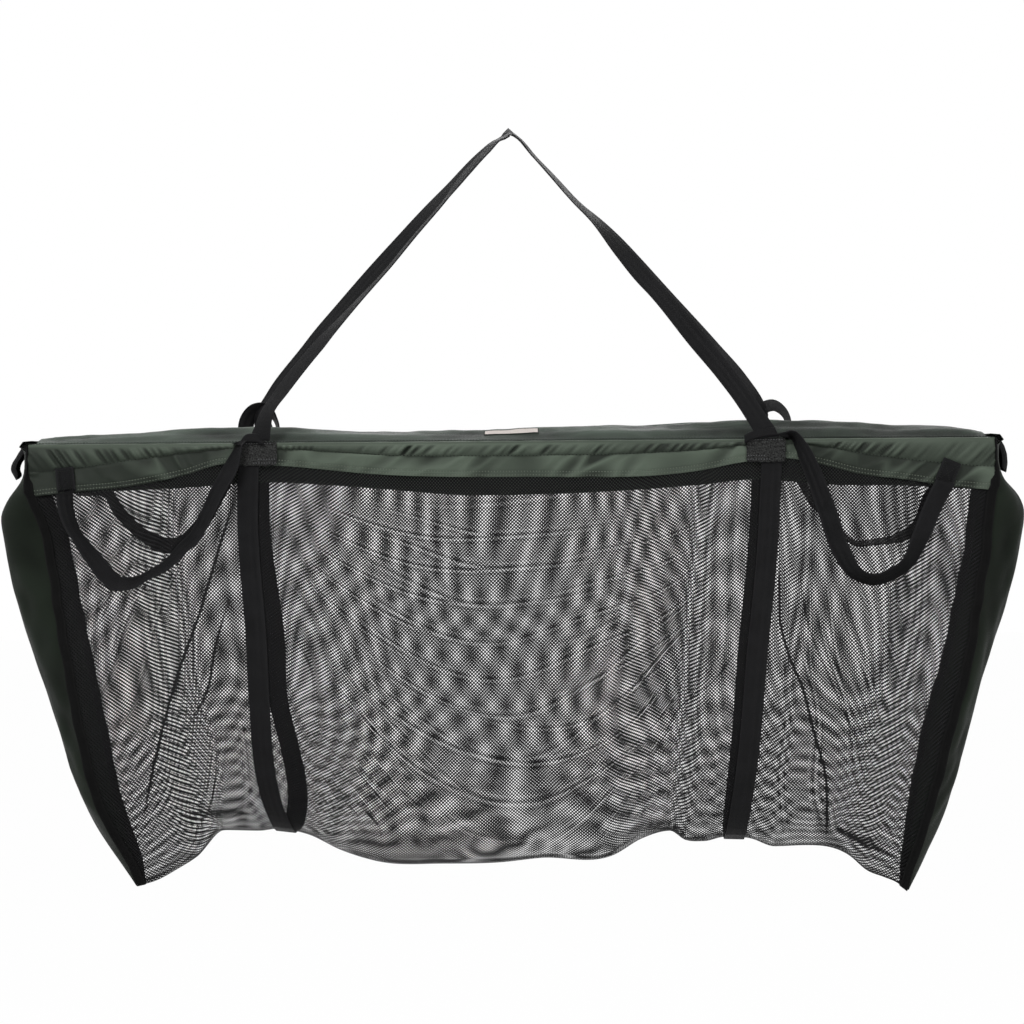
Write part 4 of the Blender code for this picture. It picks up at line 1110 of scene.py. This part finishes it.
def build_bindings():
    share = np.linspace(0.003, 0.998, 110)[:, None]
    rough = ripples(share[:, 0], 0 * share[:, 0], 0.09, 130)[:, None]
    # Above the net the tape goes on up the end of the rim.
    climb = np.linspace(0.0015, 0.057, CLIMB_STEPS)
    over = np.clip(np.linspace(1.8, 0, CLIMB_STEPS), 0, 1)
    for label, sign in HALVES:
        for end, side in ENDS:
            a, s = np.broadcast_arrays(np.array([[0.97, 1.0]]) * sign, share)
            edge = wall_base(a.copy(), s.copy(), side)
            inward = unit_rows(edge[:, 0] - edge[:, 1])
            out = unit_rows(np.cross(unit_rows(np.gradient(edge[:, 1], axis=0)), inward))
            out *= np.sign(side * out[:, 1:2] + 1e-9)
            line = edge[:, 1] + inward * (BINDING_INWARD + BINDING_WAVER * rough) + out * BINDING_OUTWARD
            rim_x, rim_y = sign * (RIM_END_X + 0.001 * over), side * (RIM_END_Y - 0.004 * over)
            line = np.concatenate([np.stack([rim_x, rim_y, level(climb)], axis=-1), line])
            wrap = np.stack([-sign * (1 - 0.85 * over), -side * over, 0 * over], axis=-1)
            webbing(
                f"binding_tape_{end}_{label}", "sling", line, np.concatenate([unit_rows(wrap), inward]),
                BINDING_WIDTH, BINDING_THICK, BINDING_TAPE, f"binding_{end}_{label}",
            )


build_bindings()


# The two cradle straps: 25 mm black webbing from the front rim round under the net to the rear rim.
# They carry the weight of the fish and draw the bag in at the bottom.
WEB_WIDTH, WEB_THICK = 0.025, 0.0016
BAND_FACE = 0.0564
STRAP_OUT = 0.0022
STRAP_TOP_DEPTH = 0.007
STRAP_CLIMB_STEPS = 9
STRAP_WEBBING = webbing_material("strap_webbing", WEBBING_BLACK, 0.0024, 0.0125)


def build_cradle_straps():
    middle = (ACROSS_STOPS[1] + ACROSS_STOPS[2]) / 2
    shares = np.linspace(0, 1, 60)
    for label, sign in HALVES:
        parts, lies = [], []
        for side, order in ((-1, shares), (1, shares[-2::-1])):
            a, s = np.meshgrid(np.array([ACROSS_STOPS[1], middle, ACROSS_STOPS[2]]) * sign, order)
            wall = wall_base(a, s, side)
            lie = unit_rows(wall[:, 2] - wall[:, 0]) * sign
            out = unit_rows(np.cross(unit_rows(np.gradient(wall[:, 1], axis=0)), lie))
            part = wall[:, 1] + out * STRAP_OUT
            part[0 if side < 0 else -1, 1] = side * (BAND_FACE + WEB_THICK / 2)
            parts.append(part)
            lies.append(lie)
        line, lie = np.concatenate(parts), np.concatenate(lies)
        # From each hem the webbing goes straight up the rim, to its end under the patch.
        climb = np.linspace(1, 0, STRAP_CLIMB_STEPS)[:, None]
        front, rear = (
            at + climb * np.array([0, 0, level(STRAP_TOP_DEPTH) - at[2]]) for at in (line[0], line[-1])
        )
        line = np.concatenate([front, line[1:-1], rear[::-1]])
        steady = [np.tile(lie[i], (STRAP_CLIMB_STEPS, 1)) for i in (0, -1)]
        lie = np.concatenate([steady[0], lie[1:-1], steady[1]])
        node = "cradle_strap_" + label
        webbing("cradle_webbing_" + label, "sling", line, lie, WEB_WIDTH, WEB_THICK, STRAP_WEBBING, node)


build_cradle_straps()


# The patches: rough dark pads, each sewn over the ends of the straps and handles at an anchor on the rim.
# They spread the handles' pull over the cloth, and rows of pale thread hold them down.
PATCH_X, PATCH_DEPTH = 0.305, 0.013
PATCH_THICK = 0.0012
PATCH_PILE, PATCH_RAGGED = 0.0004, 0.0007
PATCH_MID_Y, PATCH_STITCH_Y = 0.05905, 0.0601
PATCH_HALF, PATCH_HALF_HEIGHT = 0.0235, 0.0142
# The stitch rows of a patch, as (depth, first and last distance towards the middle).
PATCH_STITCHES = ((0.0195, (0.002, 0.021)), (0.0240, (-0.004, 0.0215)), (0.0005, (-0.019, 0.016)))


def patch_material():
    material, tree, shader = new_material("rough_patch", (0.03, 0.03, 0.031), 0.9, shine=0.08)
    pile = noise(tree, object_place(tree), 620, 4)
    share = spread(tree, pile, 0.35, 0.68)
    colour = mixed_colour(tree, share, (0.006, 0.006, 0.006), (0.05, 0.051, 0.05))
    feed(tree, shader.inputs["Base Color"], colour)
    bump(tree, shader, pile, 0.0012)
    return material


def build_patches():
    pile = patch_material()
    pale = thread_material("pale_thread", (0.035, 0.036, 0.038), (0.16, 0.165, 0.17))
    u, v = np.meshgrid(np.linspace(-1, 1, 57), np.linspace(-1, 1, 35))
    edge = np.maximum(np.abs(u), np.abs(v)) > 0.99
    for label, sign in HALVES:
        for end, side in ENDS:
            seed = 140 + sign + 2 * side
            x = sign * PATCH_X + PATCH_HALF * u * (1 - 0.03 * v**2)
            z = level(PATCH_DEPTH) - PATCH_HALF_HEIGHT * v * (1 - 0.03 * u**2)
            y = PATCH_MID_Y + PATCH_PILE * ripples(x, z, 0.006, seed) * ~edge - PATCH_PILE * edge
            x = x + PATCH_RAGGED * ripples(x, z, 0.008, seed + 10) * edge
            z = z + PATCH_RAGGED * ripples(x, z, 0.008, seed + 20) * edge
            points = np.stack([x, side * y, z], axis=-1)
            cloth_piece(
                f"rough_patch_{end}_{label}", points, points[..., [0, 2]], pile,
                "sling", f"patch_{end}_{label}", PATCH_THICK, flip=side > 0,
            )
            rows = []
            for depth, reach in PATCH_STITCHES:
                along = sign * (PATCH_X - np.linspace(*reach, 12))
                row = [along, np.full_like(along, side * PATCH_STITCH_Y), np.full_like(along, level(depth))]
                rows.append(np.stack(row, axis=-1))
            stitch(f"patch_stitches_{end}_{label}", "sling", rows, (0, side, 0), 0.0030, seed, pale)


build_patches()


# The roof: two flaps of the rim's green cloth from the rims up over a soft ridge and down to the zip.
# They close the bag over the fish. A row of stitches holds each to its rim and another to the zip's tape.
FLAP_HALF = 0.571
FLAP_HINGE_Y, RIDGE_Y = 0.050, 0.022
FLAP_RISE, ZIP_RISE, FLAP_EDGE_Y = 0.0022, 0.004, 0.009
# The rims' green cloth, painted darker as shade because the roof faces the lamps from above.
ROOF_SHADED_GREEN = (0.050, 0.064, 0.052)
ROOF_FOLD, ROOF_FINE_FOLD = 0.0015, 0.0003
ROOF_STITCH_LIFT = 0.0006
RIDGE = [
    (-571, 7), (-523, 11), (-440, 15), (-332, 20), (-277, 18), (-74, 14), (0, 14.5), (47, 16.5),
    (229, 21.5), (283, 23), (350, 23.5), (447, 17), (562, 10), (571, 7),
]
# Painted shade and light along the roof, pale at the left end and darkest at the right.
ROOF_PAINTED_SHADING = ((-0.57, -0.45, -0.3, 0.15, 0.33, 0.57), (0.5, 0.3, -0.2, -0.3, -1.1, -1.3))


def flap_grid(side):
    """A flap's cloth from its rim over the ridge to the zip, with the painted shade and light of its folds.
    """
    x = np.linspace(-FLAP_HALF, FLAP_HALF, 340)
    top, roof_shading = curve_through(RIDGE, x), np.interp(x, *ROOF_PAINTED_SHADING)
    knots = (
        (FLAP_HINGE_Y + 0.0006, 0 * x + 0.0008),
        (0.036, FLAP_RISE + (top - FLAP_RISE) * 0.56),
        (RIDGE_Y, top),
        (0.0155, (top + ZIP_RISE) / 2 + 0.0025),
        (FLAP_EDGE_Y, 0 * x + ZIP_RISE + 0.0014),
    )
    rows, folds = [], []
    seed = 150 if side < 0 else 160
    for t in np.linspace(0, 4, 33):
        y = np.interp(t, range(5), [place for place, _ in knots])
        i = min(int(t), 3)
        s = t - i
        soft = s * s * (3 - 2 * s) * 0.35 + s * 0.65
        z = knots[i][1] * (1 - soft) + knots[i + 1][1] * soft
        loose = math.sin(math.pi * min(t / 3.2, 1)) ** 0.8
        fold = ROOF_FOLD * ripples(x * 0.4 + y, 1.6 * y + 0 * x, 0.045, seed)
        fold = fold + ROOF_FINE_FOLD * ripples(x * 0.6, y + 0 * x, 0.02, seed + 1)
        z = z + fold * loose * np.clip((FLAP_HALF - np.abs(x)) / 0.02, 0, 1)
        rows.append(np.stack([x, 0 * x + side * y, -HANG + z], axis=-1))
        crest_highlight = hump(ripples(x * 0.3 + 0.6 * y, 1.4 * y + 0 * x, 0.05, seed + 2), 0, 0.12) * loose
        # Painted shade and light: by place, by fold height, painted highlights along random crests and along
        # the ridge, and a little painted shade overall.
        folds.append(roof_shading + fold * loose / FOLD_UNIT + 0.8 * crest_highlight - 0.25 + 0.9 * hump(t, 2, 0.1))
    return np.stack(rows), np.clip(np.stack(folds), *FOLD_RANGE)


def build_roof_flaps():
    cloth = coated_cloth("roof_cloth", ROOF_SHADED_GREEN, shine=0.08)
    for end, side in ENDS:
        points, folds = flap_grid(side)
        down = run_length(points)
        uv = np.stack([points[..., 0], down + 0.3], axis=-1)
        body = "roof_flap_" + end
        flap = cloth_piece(
            "roof_cloth_" + end, points, uv, cloth, body, body,
            masks={"fold": folds}, flip=side < 0,
        )
        lines = [points[row] + [0, 0, ROOF_STITCH_LIFT] for row in (-3, 1)]
        stitch("roof_stitches_" + end, body, lines, (0, 0, 1), seed=7 + side)


build_roof_flaps()


# The zip: black tapes sewn under the flaps' edges, with a row of plastic coil teeth on each, one metal
# slider and its pull tab. The front row of teeth runs nearly to the flap's ends, and the rear one stops
# a little before them.
ZIP_Z = -0.3651
ZIP_HALVES = {"front": 0.5686, "rear": 0.5346}
TAPE_MID_Y, TAPE_WIDTH, TAPE_THICK, TAPE_BELOW = 0.00702, 0.01376, 0.0007, 0.0009
COIL_Y = 0.0021


def hard_material(name, colour, roughness, metallic=0.0):
    """Moulded plastic or dark metal with a little wear."""
    material, tree, shader = new_material(name, colour, roughness, 0.3)
    shader.inputs["Metallic"].default_value = metallic
    wear = noise(tree, object_place(tree), 160, 4)
    dark, light = (tuple(c * share for c in colour) for share in (0.7, 1.4))
    feed(tree, shader.inputs["Base Color"], mixed_colour(tree, wear, dark, light))
    rough = spread(tree, wear, 0.3, 0.7, roughness - 0.07, roughness + 0.1)
    feed(tree, shader.inputs["Roughness"], rough)
    bump(tree, shader, wear, 0.0002)
    return material


ZIP_TAPE = webbing_material("zip_tape", (0.006, 0.006, 0.0064), 0.0012, 0.005, roughness=0.7)
ZIP_TEETH = hard_material("zip_teeth", (0.014, 0.014, 0.0145), 0.35)


def build_zip_rows():
    for end, side in ENDS:
        body = "roof_flap_" + end
        x = np.linspace(-ZIP_HALVES[end], ZIP_HALVES[end], 120)
        # The tape reaches in under the coil that is sewn on it.
        tape = np.stack([x, 0 * x + side * TAPE_MID_Y, 0 * x + ZIP_Z - TAPE_BELOW], axis=-1)
        webbing(
            "zip_tape_cloth_" + end, body, tape, (0, 1, 0), TAPE_WIDTH, TAPE_THICK,
            ZIP_TAPE, "zip_tape_" + end,
        )
        coil = np.stack([x, 0 * x + side * COIL_Y, 0 * x + ZIP_Z], axis=-1)
        teeth = run_tree(
            "zip_teeth_" + end, ROW_TREE, [coil], (0, 0, 1),
            Pitch=0.0014, Length=0.0013, Width=0.003, Height=0.0021, Uneven=0.03, Seed=9, Material=ZIP_TEETH,
        )
        stand_for(teeth, body, "zip_coil_" + end)


build_zip_rows()
paint_nodes(("zip_slider", "pull_tab"), hard_material("slider_metal", (0.03, 0.03, 0.031), 0.32, 0.8))


# The ends of the zip tape: black flaps turned down over the ends of the roof and sewn along their edges.
# They give the hand something to hold while the slider is pulled.
ZIP_END_PATH = (
    (0.5745, -0.0052), (0.582, -0.0056), (0.5895, -0.0048), (0.5965, 0.0008),
    (0.6015, 0.009), (0.6045, 0.019), (0.6052, 0.030), (0.6035, 0.041),
)
ZIP_END_HALF, ZIP_END_ROUNDED = 0.0125, 0.009
ZIP_END_WRAP = 0.0085
ZIP_END_BEND, ZIP_END_BEND_DEPTH, ZIP_END_BEND_HALF = 0.006, 0.027, 0.012
ZIP_END_COLUMNS = 21


def build_zip_ends():
    path = np.array(ZIP_END_PATH)
    chord = np.linspace(0, len(path) - 1, 40)
    x, depth = (np.interp(chord, range(len(path)), column) for column in path.T)
    run = np.concatenate([[0], np.cumsum(np.hypot(np.diff(x), np.diff(depth)))])
    for label, sign in HALVES:
        rows = []
        for i, left in enumerate(run[-1] - run):
            rounded = math.sqrt(max(1 - max(1 - left / ZIP_END_ROUNDED, 0) ** 2.2, 0.02))
            w = np.linspace(-1, 1, ZIP_END_COLUMNS) * (ZIP_END_HALF * rounded)
            wrapped = ZIP_END_WRAP * (w / ZIP_END_HALF) ** 2 * min(max(depth[i] + 0.004, 0) / 0.012, 1)
            # The left end is bent outwards half way down.
            bent = ZIP_END_BEND * hump(depth[i], ZIP_END_BEND_DEPTH, ZIP_END_BEND_HALF) * (sign < 0)
            out = sign * (x[i] + 0.0004 + bent - wrapped)
            rows.append(np.stack([out, w, np.full_like(w, level(depth[i]))], axis=-1))
        points = np.stack(rows)
        uv = np.stack([points[..., 1], np.repeat(run[:, None], ZIP_END_COLUMNS, axis=1)], axis=-1)
        cloth_piece(
            "zip_end_cloth_" + label, points, uv, ZIP_TAPE, "sling", "zip_end_" + label,
            flip=sign > 0,
        )
        lines = [points[6:36, column] + np.array([sign * 0.0007, 0, 0.0003]) for column in (2, 18)]
        stitch("zip_end_stitches_" + label, "sling", lines, (sign, 0, 0.3), 0.0026, 11)


build_zip_ends()


# The label: a small blank strip of pale woven ribbon sewn to the front slope of the roof.
# It has a dark border and follows the folds of the cloth under it.
LABEL_HALF, LABEL_HALF_WIDTH, LABEL_THICK = 0.033, 0.0055, 0.0005
LABEL_LIFT = 0.0011


def label_material():
    material, tree, shader = new_material("label_ribbon", (0.5, 0.46, 0.43), 0.6, shine=0.2)
    weave = place_group(tree, CLOTH_GRAIN, Place=uv_source(tree))["Weave"]
    place = put(tree, "ShaderNodeSeparateXYZ", Vector=uv_source(tree)).outputs
    off = [calc(tree, "ABSOLUTE", place[axis]) for axis in (0, 1)]
    sides, ends = spread(tree, off[0], 0.0315, 0.0322), spread(tree, off[1], 0.0042, 0.0045)
    border = calc(tree, "ADD", sides, ends, clamp=True)
    cream = mixed_colour(tree, weave, (0.52, 0.47, 0.44), (0.72, 0.67, 0.63))
    feed(tree, shader.inputs["Base Color"], mixed_colour(tree, border, cream, (0.02, 0.023, 0.02)))
    bump(tree, shader, weave, 0.0001)
    return material


def build_label():
    u, v = np.meshgrid(
        np.linspace(-LABEL_HALF, LABEL_HALF, 61), np.linspace(-LABEL_HALF_WIDTH, LABEL_HALF_WIDTH, 13)
    )
    y = v * 0.93 - (FLAP_HINGE_Y + RIDGE_Y * 2) / 3
    # The ribbon lies on the flap and follows its folds.
    flap, _ = flap_grid(-1)
    row_at = np.interp(y[:, 0], flap[:, 0, 1], np.arange(len(flap)))
    below = [on_grid(flap, at)[:, 2] for at in row_at]
    z = np.stack([np.interp(u[0], flap[0, :, 0], heights) for heights in below]) + LABEL_LIFT
    points, uv = np.stack([u, y, z], axis=-1), np.stack([u, v], axis=-1)
    ribbon = label_material()
    cloth_piece("label_ribbon", points, uv, ribbon, "roof_flap_front", "label", LABEL_THICK)


build_label()


# The main handles: two long loops of the same webbing. They lie flat side by side on the hook, and each
# leg turns on its way down until it faces the front or the rear at its foot.
FOOT_Y, FOOT_Z = 0.061, -0.3665
SEAT_Y = 0.0135
FOOT_RISE = 0.0025
# Past this share of the drop a leg comes back to its foot's true place.
NEAR_FOOT = 0.93
# Each leg as (height over the crease, distance of its outer and of its inner edge from the middle).
LEGS = {
    ("rear", "left"): [
        (372, 0, -9), (366, 12, -3), (360, 22, 9), (347, 38, 22), (309, 76, 57), (290, 95, 76),
        (248, 135, 110), (205, 175, 148), (170, 206, 180), (134, 237, 213), (115, 252, 228),
        (61, 294, 270), (40, 306, 285), (2.5, 316, 291),
    ],
    ("rear", "right"): [
        (372, 2, -9), (366, 12, 5), (342, 33, 26), (319, 55, 47), (283, 89, 79), (265, 111, 96),
        (225, 152, 130), (177, 195, 174), (117, 249, 228), (76, 284, 264), (45, 304, 284),
        (2.5, 316, 291),
    ],
    ("front", "left"): [
        (369, 0, -8), (366, 8, -2), (360, 20, 9), (347, 34, 22), (309, 68, 57), (290, 80, 74),
        (248, 117, 110), (205, 153, 146), (170, 187, 177), (134, 223, 207), (115, 242, 222),
        (61, 286, 266), (40, 300, 282), (2.5, 314, 290),
    ],
    ("front", "right"): [
        (369, 2, -8), (365, 10, 5), (342, 30, 26), (319, 53, 46), (283, 87, 77), (265, 108, 94),
        (225, 148, 123), (190, 179, 151), (177, 191, 163), (117, 242, 211), (76, 274, 245),
        (45, 296, 268), (20, 312, 284), (2.5, 321, 296),
    ],
}


def path_length(points):
    """Distance along a line from its first point, by the first two numbers of each point."""
    return np.concatenate([[0], np.cumsum(np.linalg.norm(np.diff(points[:, :2], axis=0), axis=1))])


def smooth_line(points, count):
    """Evenly spaced points on a smooth curve through a few."""
    points = np.asarray(points, float)
    chord = path_length(points)
    fine = np.linspace(0, chord[-1], 20 * count)
    line = np.stack([curve_through(np.stack([chord, part], 1) * 1000, fine) for part in points.T], 1)
    run = path_length(line)
    even = np.linspace(0, run[-1], count)
    return np.stack([np.interp(even, run, part) for part in line.T], axis=1)


def square_to(line):
    """Directions square to a line, as seen from the front."""
    along = unit_rows(np.gradient(line, axis=0))
    return unit_rows(np.stack([-along[:, 2], 0 * along[:, 0], along[:, 0]], axis=-1))


def leg_line(end, half):
    """A leg from the hook down: centre line, and how much of its webbing's width shows from the front."""
    knots = np.array(LEGS[(end, half)], float) / 1000
    middle = (knots[:, 1] + knots[:, 2]) / 2
    middle[0] = 0
    route = np.stack([middle, knots[:, 0], knots[:, 1] - knots[:, 2]], axis=1)
    line = smooth_line(route, 90)
    slope = unit_rows(np.gradient(line[:, :2], axis=0))
    shown = line[:, 2] * np.abs(slope[:, 1])
    shown[0] = shown[1]
    return line[:, 0], line[:, 1], np.clip(shown / WEB_WIDTH, 0.05, 1)


def build_main_handles():
    for end, side in ENDS:
        halves = []
        for half, sign in HALVES:
            x, above, shown = leg_line(end, half)
            drop = np.clip((HANG - above) / (HANG - FOOT_RISE), 0, 1)
            y = side * (SEAT_Y + (FOOT_Y - SEAT_Y) * drop)
            # A place on the rear handle stands farther from the eye, so it is drawn out to match.
            scale = 1 + (y - FRONT_PLANE_Y) / VIEW_DISTANCE
            far = np.where(drop < NEAR_FOOT, 1, np.clip((1 - drop) / (1 - NEAR_FOOT), 0, 1))
            scale = 1 + (scale - 1) * far
            z = VIEW_HEIGHT + (above - HANG - VIEW_HEIGHT) * scale
            halves.append(np.stack([sign * x * scale, y, z, shown], axis=-1))
        left, right = halves
        joined = np.concatenate([left[::-1], right[1:]])
        line, shown = joined[:, :3], joined[:, 3]
        shown[-6:] = np.linspace(shown[-6], 1, 6)
        shown[:6] = np.linspace(1, shown[5], 6)
        lie = square_to(line) * shown[:, None] + np.array([0, 1, 0]) * np.sqrt(1 - shown**2)[:, None]
        lie[0] = (-1, 0, 0)
        lie[-1] = (1, 0, 0)
        line[0, 1:] = line[-1, 1:] = (side * FOOT_Y, FOOT_Z)
        body = "main_handle_" + end
        webbing("main_webbing_" + end, body, line, lie, WEB_WIDTH, WEB_THICK, STRAP_WEBBING, body)


build_main_handles()


# The side handles: four short loops of narrower webbing to carry and turn the bag by, as wide as they show
# in the photograph. The inner end of each is sewn under a patch, and the outer end lies folded double on
# the rim and is sewn there.
SIDE_WIDTH = 0.0225
SIDE_OUT, SIDE_OUT_AT = 0.017, 0.17
SIDE_WEBBING = webbing_material("side_webbing", WEBBING_BLACK, 0.0022, 0.01)
INNER_X = {"front": 0.325, "rear": 0.347}
SEWN_X, SEWN_HINGE_Z = 0.535, -0.4261
SEWN_LOW, SEWN_TOP = -0.4255, -0.3975
SEWN_NEAR_Y, SEWN_OVER_Y, SEWN_STITCH_Y = 0.0572, 0.05885, 0.0597
SEWN_WIDTH, SEWN_THICK = 0.0222, 0.00145
SEWN_FOLD_Y, SEWN_FOLD_OUT, SEWN_FOLD_UP = 0.05802, 0.00082, 0.0004
# The crossed square is sewn in two goes, by its corners in shares of its half size.
CROSS_HALF = (0.0072, 0.0105)
CROSS = (((-1, -1), (1, -1), (1, 1), (-1, 1), (-1, -1), (1, 1)), ((-1, 1), (1, -1)))
# The front ends are sewn on at a slant, and the right one of them also sits farther in.
SEWN_SLANTS = {("front", "right"): 0.42, ("front", "left"): 0.1}
SEWN_SHIFTS = {("front", "right"): 0.0125}
SIDE_HANGS = {
    ("front", "left"): [
        (-335, 27), (-352, 58), (-366, 88), (-379, 112), (-395, 127), (-411, 144), (-432, 156),
        (-453, 166), (-469, 167), (-482, 158), (-498, 138), (-513, 119), (-527, 96), (-533, 76),
    ],
    ("front", "right"): [
        (334, -5), (346, 9), (356, 30), (376, 86), (394, 138), (408, 160), (430, 169), (455, 161),
        (472, 148), (483, 127), (493, 105), (502, 84), (511, 66),
    ],
    ("rear", "left"): [
        (-356, 40), (-372, 70), (-389, 98), (-400, 111), (-412, 120), (-426, 125), (-442, 121),
        (-463, 109), (-480, 93), (-494, 76), (-503, 60), (-512, 54), (-523, 55),
    ],
    ("rear", "right"): [
        (362, 50), (378, 78), (395, 97), (411, 113), (432, 128), (455, 126), (480, 122),
        (502, 112), (514, 95), (522, 76),
    ],
}
# How far the webbing is turned on edge, in radians, at places along each handle.
TURN_PLACES = (0, 0.1, 0.4, 0.55, 0.7, 0.85, 1)
TURNS = {
    ("front", "left"): (1.15, 0.55, 0.85, 1.1, 0.45, 1.05, 0.6),
    ("front", "right"): (1.2, 0.75, 0.15, 0.95, 0.75, 0.15, 0),
    ("rear", "left"): (0, 0.9, 0.8, 0.6, 0.75, 0.8, 1.2),
    ("rear", "right"): (0, 0.9, 1.2, 1.3, 1.2, 0.9, 0),
}


def side_hinge(end, half, side, sign):
    """Both ends of a side handle, on the line that it swings about."""
    inner = np.array([sign * INNER_X[end], side * FOOT_Y, FOOT_Z])
    outer = np.array([sign * SEWN_X, side * FOOT_Y, SEWN_HINGE_Z])
    if (end, half) in SEWN_SHIFTS:
        outer = outer + (inner - outer) * 0.075
    return inner, outer


def build_side_handle(end, half, side, sign):
    inner, outer = side_hinge(end, half, side, sign)
    hang = [(x / 1000, level(d / 1000)) for x, d in SIDE_HANGS[(end, half)]]
    line = smooth_line([inner[[0, 2]], *hang, outer[[0, 2]]], 90)
    drop = np.clip((-HANG - line[:, 1]) / SIDE_OUT_AT, 0, 1)
    line = np.stack([line[:, 0], side * (FOOT_Y + SIDE_OUT * drop), line[:, 1]], axis=-1)
    turn = np.interp(np.linspace(0, 1, len(line)), TURN_PLACES, TURNS[(end, half)])[:, None]
    lie = square_to(line) * np.cos(turn) + np.array([0, side, 0]) * np.sin(turn)
    hinge = unit_rows(outer - inner)
    for i, beside in ((0, 1), (-1, -2)):
        lie[i] = hinge if hinge @ lie[beside] > 0 else -hinge
    body = f"side_handle_{end}_{half}"
    webbing(f"side_webbing_{end}_{half}", body, line, lie, SIDE_WIDTH, WEB_THICK, SIDE_WEBBING, body)


def build_sewn_end(end, half, side, sign):
    """The webbing's end, folded back on itself on the rim and sewn with a crossed square."""
    x, middle = sign * SEWN_X, (SEWN_LOW + SEWN_TOP) / 2
    slant = sign * SEWN_SLANTS.get((end, half), 0.0)
    shift = SEWN_SHIFTS.get((end, half), 0.0)
    line = [(x, side * SEWN_NEAR_Y, z) for z in np.linspace(SEWN_LOW, SEWN_TOP, 12)]
    for angle in np.linspace(0.3, 2.84, 5):
        y = side * (SEWN_FOLD_Y - SEWN_FOLD_OUT * math.cos(angle))
        line.append((x, y, SEWN_TOP + SEWN_FOLD_UP * math.sin(angle)))
    line += [(x, side * SEWN_OVER_Y, z) for z in np.linspace(SEWN_TOP, SEWN_LOW + 0.002, 12)]
    line = np.array(line)
    line[:, 0] += -shift + slant * (line[:, 2] - middle)
    webbing(
        f"sewn_webbing_{end}_{half}", "sling", line, unit_rows(np.array([1.0, 0.0, -slant])),
        SEWN_WIDTH, SEWN_THICK, SIDE_WEBBING, f"sewn_end_{end}_{half}",
    )
    x, y = x - shift, side * SEWN_STITCH_Y
    rows = []
    for part in CROSS:
        corners = np.array(part) * CROSS_HALF
        rows.append(np.array([(x + u + slant * v, y, middle + v - slant * u) for u, v in corners]))
    stitch(f"sewn_stitches_{end}_{half}", "sling", rows, (0, side, 0), 0.0026, 13)


def build_side_handles():
    for end, side in ENDS:
        for half, sign in HALVES:
            build_side_handle(end, half, side, sign)
            build_sewn_end(end, half, side, sign)


build_side_handles()


# The handle rolls: the slack of the front handle's webbing, rolled up where it goes under each front patch.
# They show as two thin dark rolls along the patches' upper edges.
ROLL_Y, ROLL_WIDTH, ROLL_THICK = -0.0612, 0.011, 0.0034
ROLLS = {
    "left": [(-324, 2), (-318, -5), (-306, -6), (-297, -2)],
    "right": [(279, 0), (287, -4), (302, -8), (316, -9)],
}


def build_handle_rolls():
    lie = unit_rows(np.array([0.0, 0.25, 1.0]))
    for label, points in ROLLS.items():
        route = smooth_line([(x / 1000, level(d / 1000)) for x, d in points], 16)
        line = np.stack([route[:, 0], 0 * route[:, 0] + ROLL_Y, route[:, 1]], axis=-1)
        webbing("handle_roll_" + label, "sling", line, lie, ROLL_WIDTH, ROLL_THICK, SIDE_WEBBING)


build_handle_rolls()


# The rear bends: the inner ends of the rear side handles' webbing, which stand up as short stiff loops over
# the rear rim beside the main handles. Each turns on its way, so it shows its flat side on one leg only.
BEND_LEG_X, BEND_FOOT_Z, BEND_HEIGHT = 0.317, -0.3672, 0.044
BEND_Y, BEND_WIDTH = 0.0611, 0.021
BEND_TURN_PLACES = (0, 0.3, 0.5, 0.75, 1)
# Each bend as (its span, its line in shares of span and height, how far it is turned at places along it).
BENDS = {
    "left": (
        0.019,
        [
            (-1.25, 0), (-1.35, 0.4), (-1.05, 0.8), (-0.5, 1), (0.15, 0.95), (0.6, 0.72), (0.75, 0.4),
            (0.72, 0.03),
        ],
        (0.15, 0.3, 0.9, 1.05, 1.1),
    ),
    "right": (
        0.026,
        [(0, 0), (-0.25, 0.5), (-0.05, 0.93), (0.35, 1), (0.8, 0.86), (1.07, 0.6), (1.1, 0.35), (1.06, 0.03)],
        (0.5, 0.75, 0.8, 0.5, 0.4),
    ),
}


def build_rear_bends():
    for label, sign in HALVES:
        span, shape, turns = BENDS[label]
        route = smooth_line([(BEND_LEG_X + span * u, BEND_FOOT_Z + BEND_HEIGHT * v) for u, v in shape], 40)
        line = np.stack([sign * route[:, 0], 0 * route[:, 0] + BEND_Y, route[:, 1]], axis=-1)
        square = square_to(line)
        turn = np.interp(np.linspace(0, 1, len(line)), BEND_TURN_PLACES, turns)[:, None]
        # Where it stands on edge it keeps clear of the flap that swings up beside it.
        line[:, 1] += np.maximum(BEND_WIDTH / 2 * np.cos(turn[:, 0]) - 0.004, 0)
        lie = square * np.sin(turn) + np.array([0, 1, 0]) * np.cos(turn)
        node = "rear_bend_" + label
        webbing("bend_webbing_" + label, "sling", line, lie, BEND_WIDTH, WEB_THICK, SIDE_WEBBING, node)


build_rear_bends()
